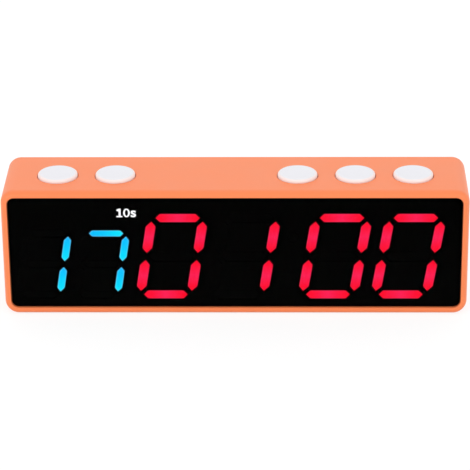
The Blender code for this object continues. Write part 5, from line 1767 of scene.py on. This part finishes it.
@dataclass
class Studio:
    """The pale floor, the soft light and the camera."""

    floor_size: float = 6.0
    floor_level: float = -0.05 * MM
    floor_shade: float = 0.86
    floor_seen: float = 0.24
    floor_lift: float = 0.80
    floor_roughness: float = 0.8
    floor_gloss: float = 0.1
    world_strength: float = 0.80
    lamps: tuple[tuple[str, Place, float, float], ...] = (
        ("key_light", (-1.1, -1.1, 0.8), 1.2, 7.0),
        ("fill_light", (1.1, -1.1, 0.8), 1.2, 5.5),
        ("sheen_light", (0.0, 1.5, 0.8), 1.6, 2.2),
    )
    aim: Place = (0.0, 0.0, 0.027)
    camera_place: Place = (20.13 * MM, -913.62 * MM, 451.06 * MM)
    camera_forward: Place = (-0.02033, 0.90678, -0.42112)
    camera_up: Place = (0.0002, 0.42121, 0.90696)
    focal_pixels: float = 2499.03
    frame_pixels: float = 470.0
    sensor: float = 36.0
    clip: Limits = (0.01, 50.0)

    def world(self) -> None:
        """An even pale sky that the camera sees as white."""
        world = bpy.data.worlds.new("studio")
        bpy.context.scene.world = world
        world.use_nodes = True
        tree = world.node_tree
        tree.nodes.clear()
        strength = calculate(tree, "MULTIPLY_ADD", watched(tree), 1.0 - self.world_strength, self.world_strength)
        sky = add_node(tree, "ShaderNodeBackground", {"Color": opaque((1.0,) * 3), "Strength": strength})
        add_node(tree, "ShaderNodeOutputWorld", {0: sky.outputs[0]})

    def floor(self) -> None:
        """A plain pale floor that keeps the shadow and looks white where it is lit in full."""
        half = self.floor_size / 2
        corners = [(half * x, half * y, self.floor_level) for x, y in ((-1, -1), (1, -1), (1, 1), (-1, 1))]
        mesh = bpy.data.meshes.new("floor")
        mesh.from_pydata(corners, [], [(0, 1, 2, 3)])
        made = bpy.data.materials.new("floor_pale")
        made.use_nodes = True
        tree = made.node_tree
        seen = watched(tree)
        feed(tree.nodes["Principled BSDF"], {
            "Base Color": blend(tree, seen, opaque((self.floor_shade,) * 3), opaque((self.floor_seen,) * 3)),
            "Roughness": self.floor_roughness,
            "Specular IOR Level": self.floor_gloss,
            "Emission Color": opaque((1.0,) * 3),
            "Emission Strength": calculate(tree, "MULTIPLY", seen, self.floor_lift),
        })
        mesh.materials.append(made)
        show("floor", mesh)

    def lamp(self, name: str, place: Place, size: float, power: float) -> None:
        """Add a square soft light that looks at the object.

        Args:
            name: Its name.
            place: Where it is.
            size: How wide it is.
            power: Its power in watts.
        """
        light = bpy.data.lights.new(name, "AREA")
        light.shape, light.size, light.energy = "SQUARE", size, power
        lamp = show(name, light)
        lamp.location = place
        lamp.rotation_mode = "QUATERNION"
        lamp.rotation_quaternion = (Vector(self.aim) - Vector(place)).to_track_quat("-Z", "Y")

    def camera(self) -> None:
        """The camera at the place that the photograph was taken from."""
        camera = bpy.data.cameras.new("camera")
        camera.sensor_width = self.sensor
        camera.lens = self.focal_pixels / self.frame_pixels * self.sensor
        camera.clip_start, camera.clip_end = self.clip
        forward, up = Vector(self.camera_forward).normalized(), Vector(self.camera_up).normalized()
        right = forward.cross(up).normalized()
        turn = Matrix((right, right.cross(forward), -forward)).transposed().to_4x4()
        made = show("camera", camera)
        made.matrix_world = Matrix.Translation(self.camera_place) @ turn
        bpy.context.scene.camera = made

    def build(self) -> None:
        """Set up all of it."""
        self.world()
        self.floor()
        for lamp in self.lamps:
            self.lamp(*lamp)
        self.camera()
        bpy.context.scene.view_settings.view_transform = "Standard"


def main() -> None:
    """Set up the studio, then build and dress the timer."""
    logging.basicConfig(level=logging.INFO, format="%(message)s")
    Studio().build()
    blue = Figures(
        "blue", "17", LIT_BLUE, x=(-76.27 * MM, -53.24 * MM), z=21.42 * MM, span=16.11 * MM, rise=26.94 * MM,
        stroke=3.1 * MM, level_gap=1.78 * MM, upright_gap=2.37 * MM, point=1.8 * MM,
    )
    colon_x, colon_z, step = 21.715 * MM, 24.6 * MM, 33.95 * MM / 4
    red = Figures(
        "red", "0100", LIT_RED, x=(-25.27 * MM, 3.54 * MM, 39.64 * MM, 68.75 * MM), z=24.8 * MM, span=20.36 * MM,
        rise=33.60 * MM, stroke=4.05 * MM, level_gap=2.12 * MM, upright_gap=2.85 * MM, point=2.25 * MM,
        dots=tuple((colon_x + Figures.lean * side * step, colon_z + side * step) for side in (-1, 1)),
    )
    outside = (Casing(), Window(), blue, red, Legend(), Buttons())
    inside = (Screws(), Fasteners(), BackCover(), Socket(), Switches(), Chips(), PowerPieces(), Carried())
    for assembly in (*outside, *inside):
        assembly.build()


if __name__ == "__main__":
    main()
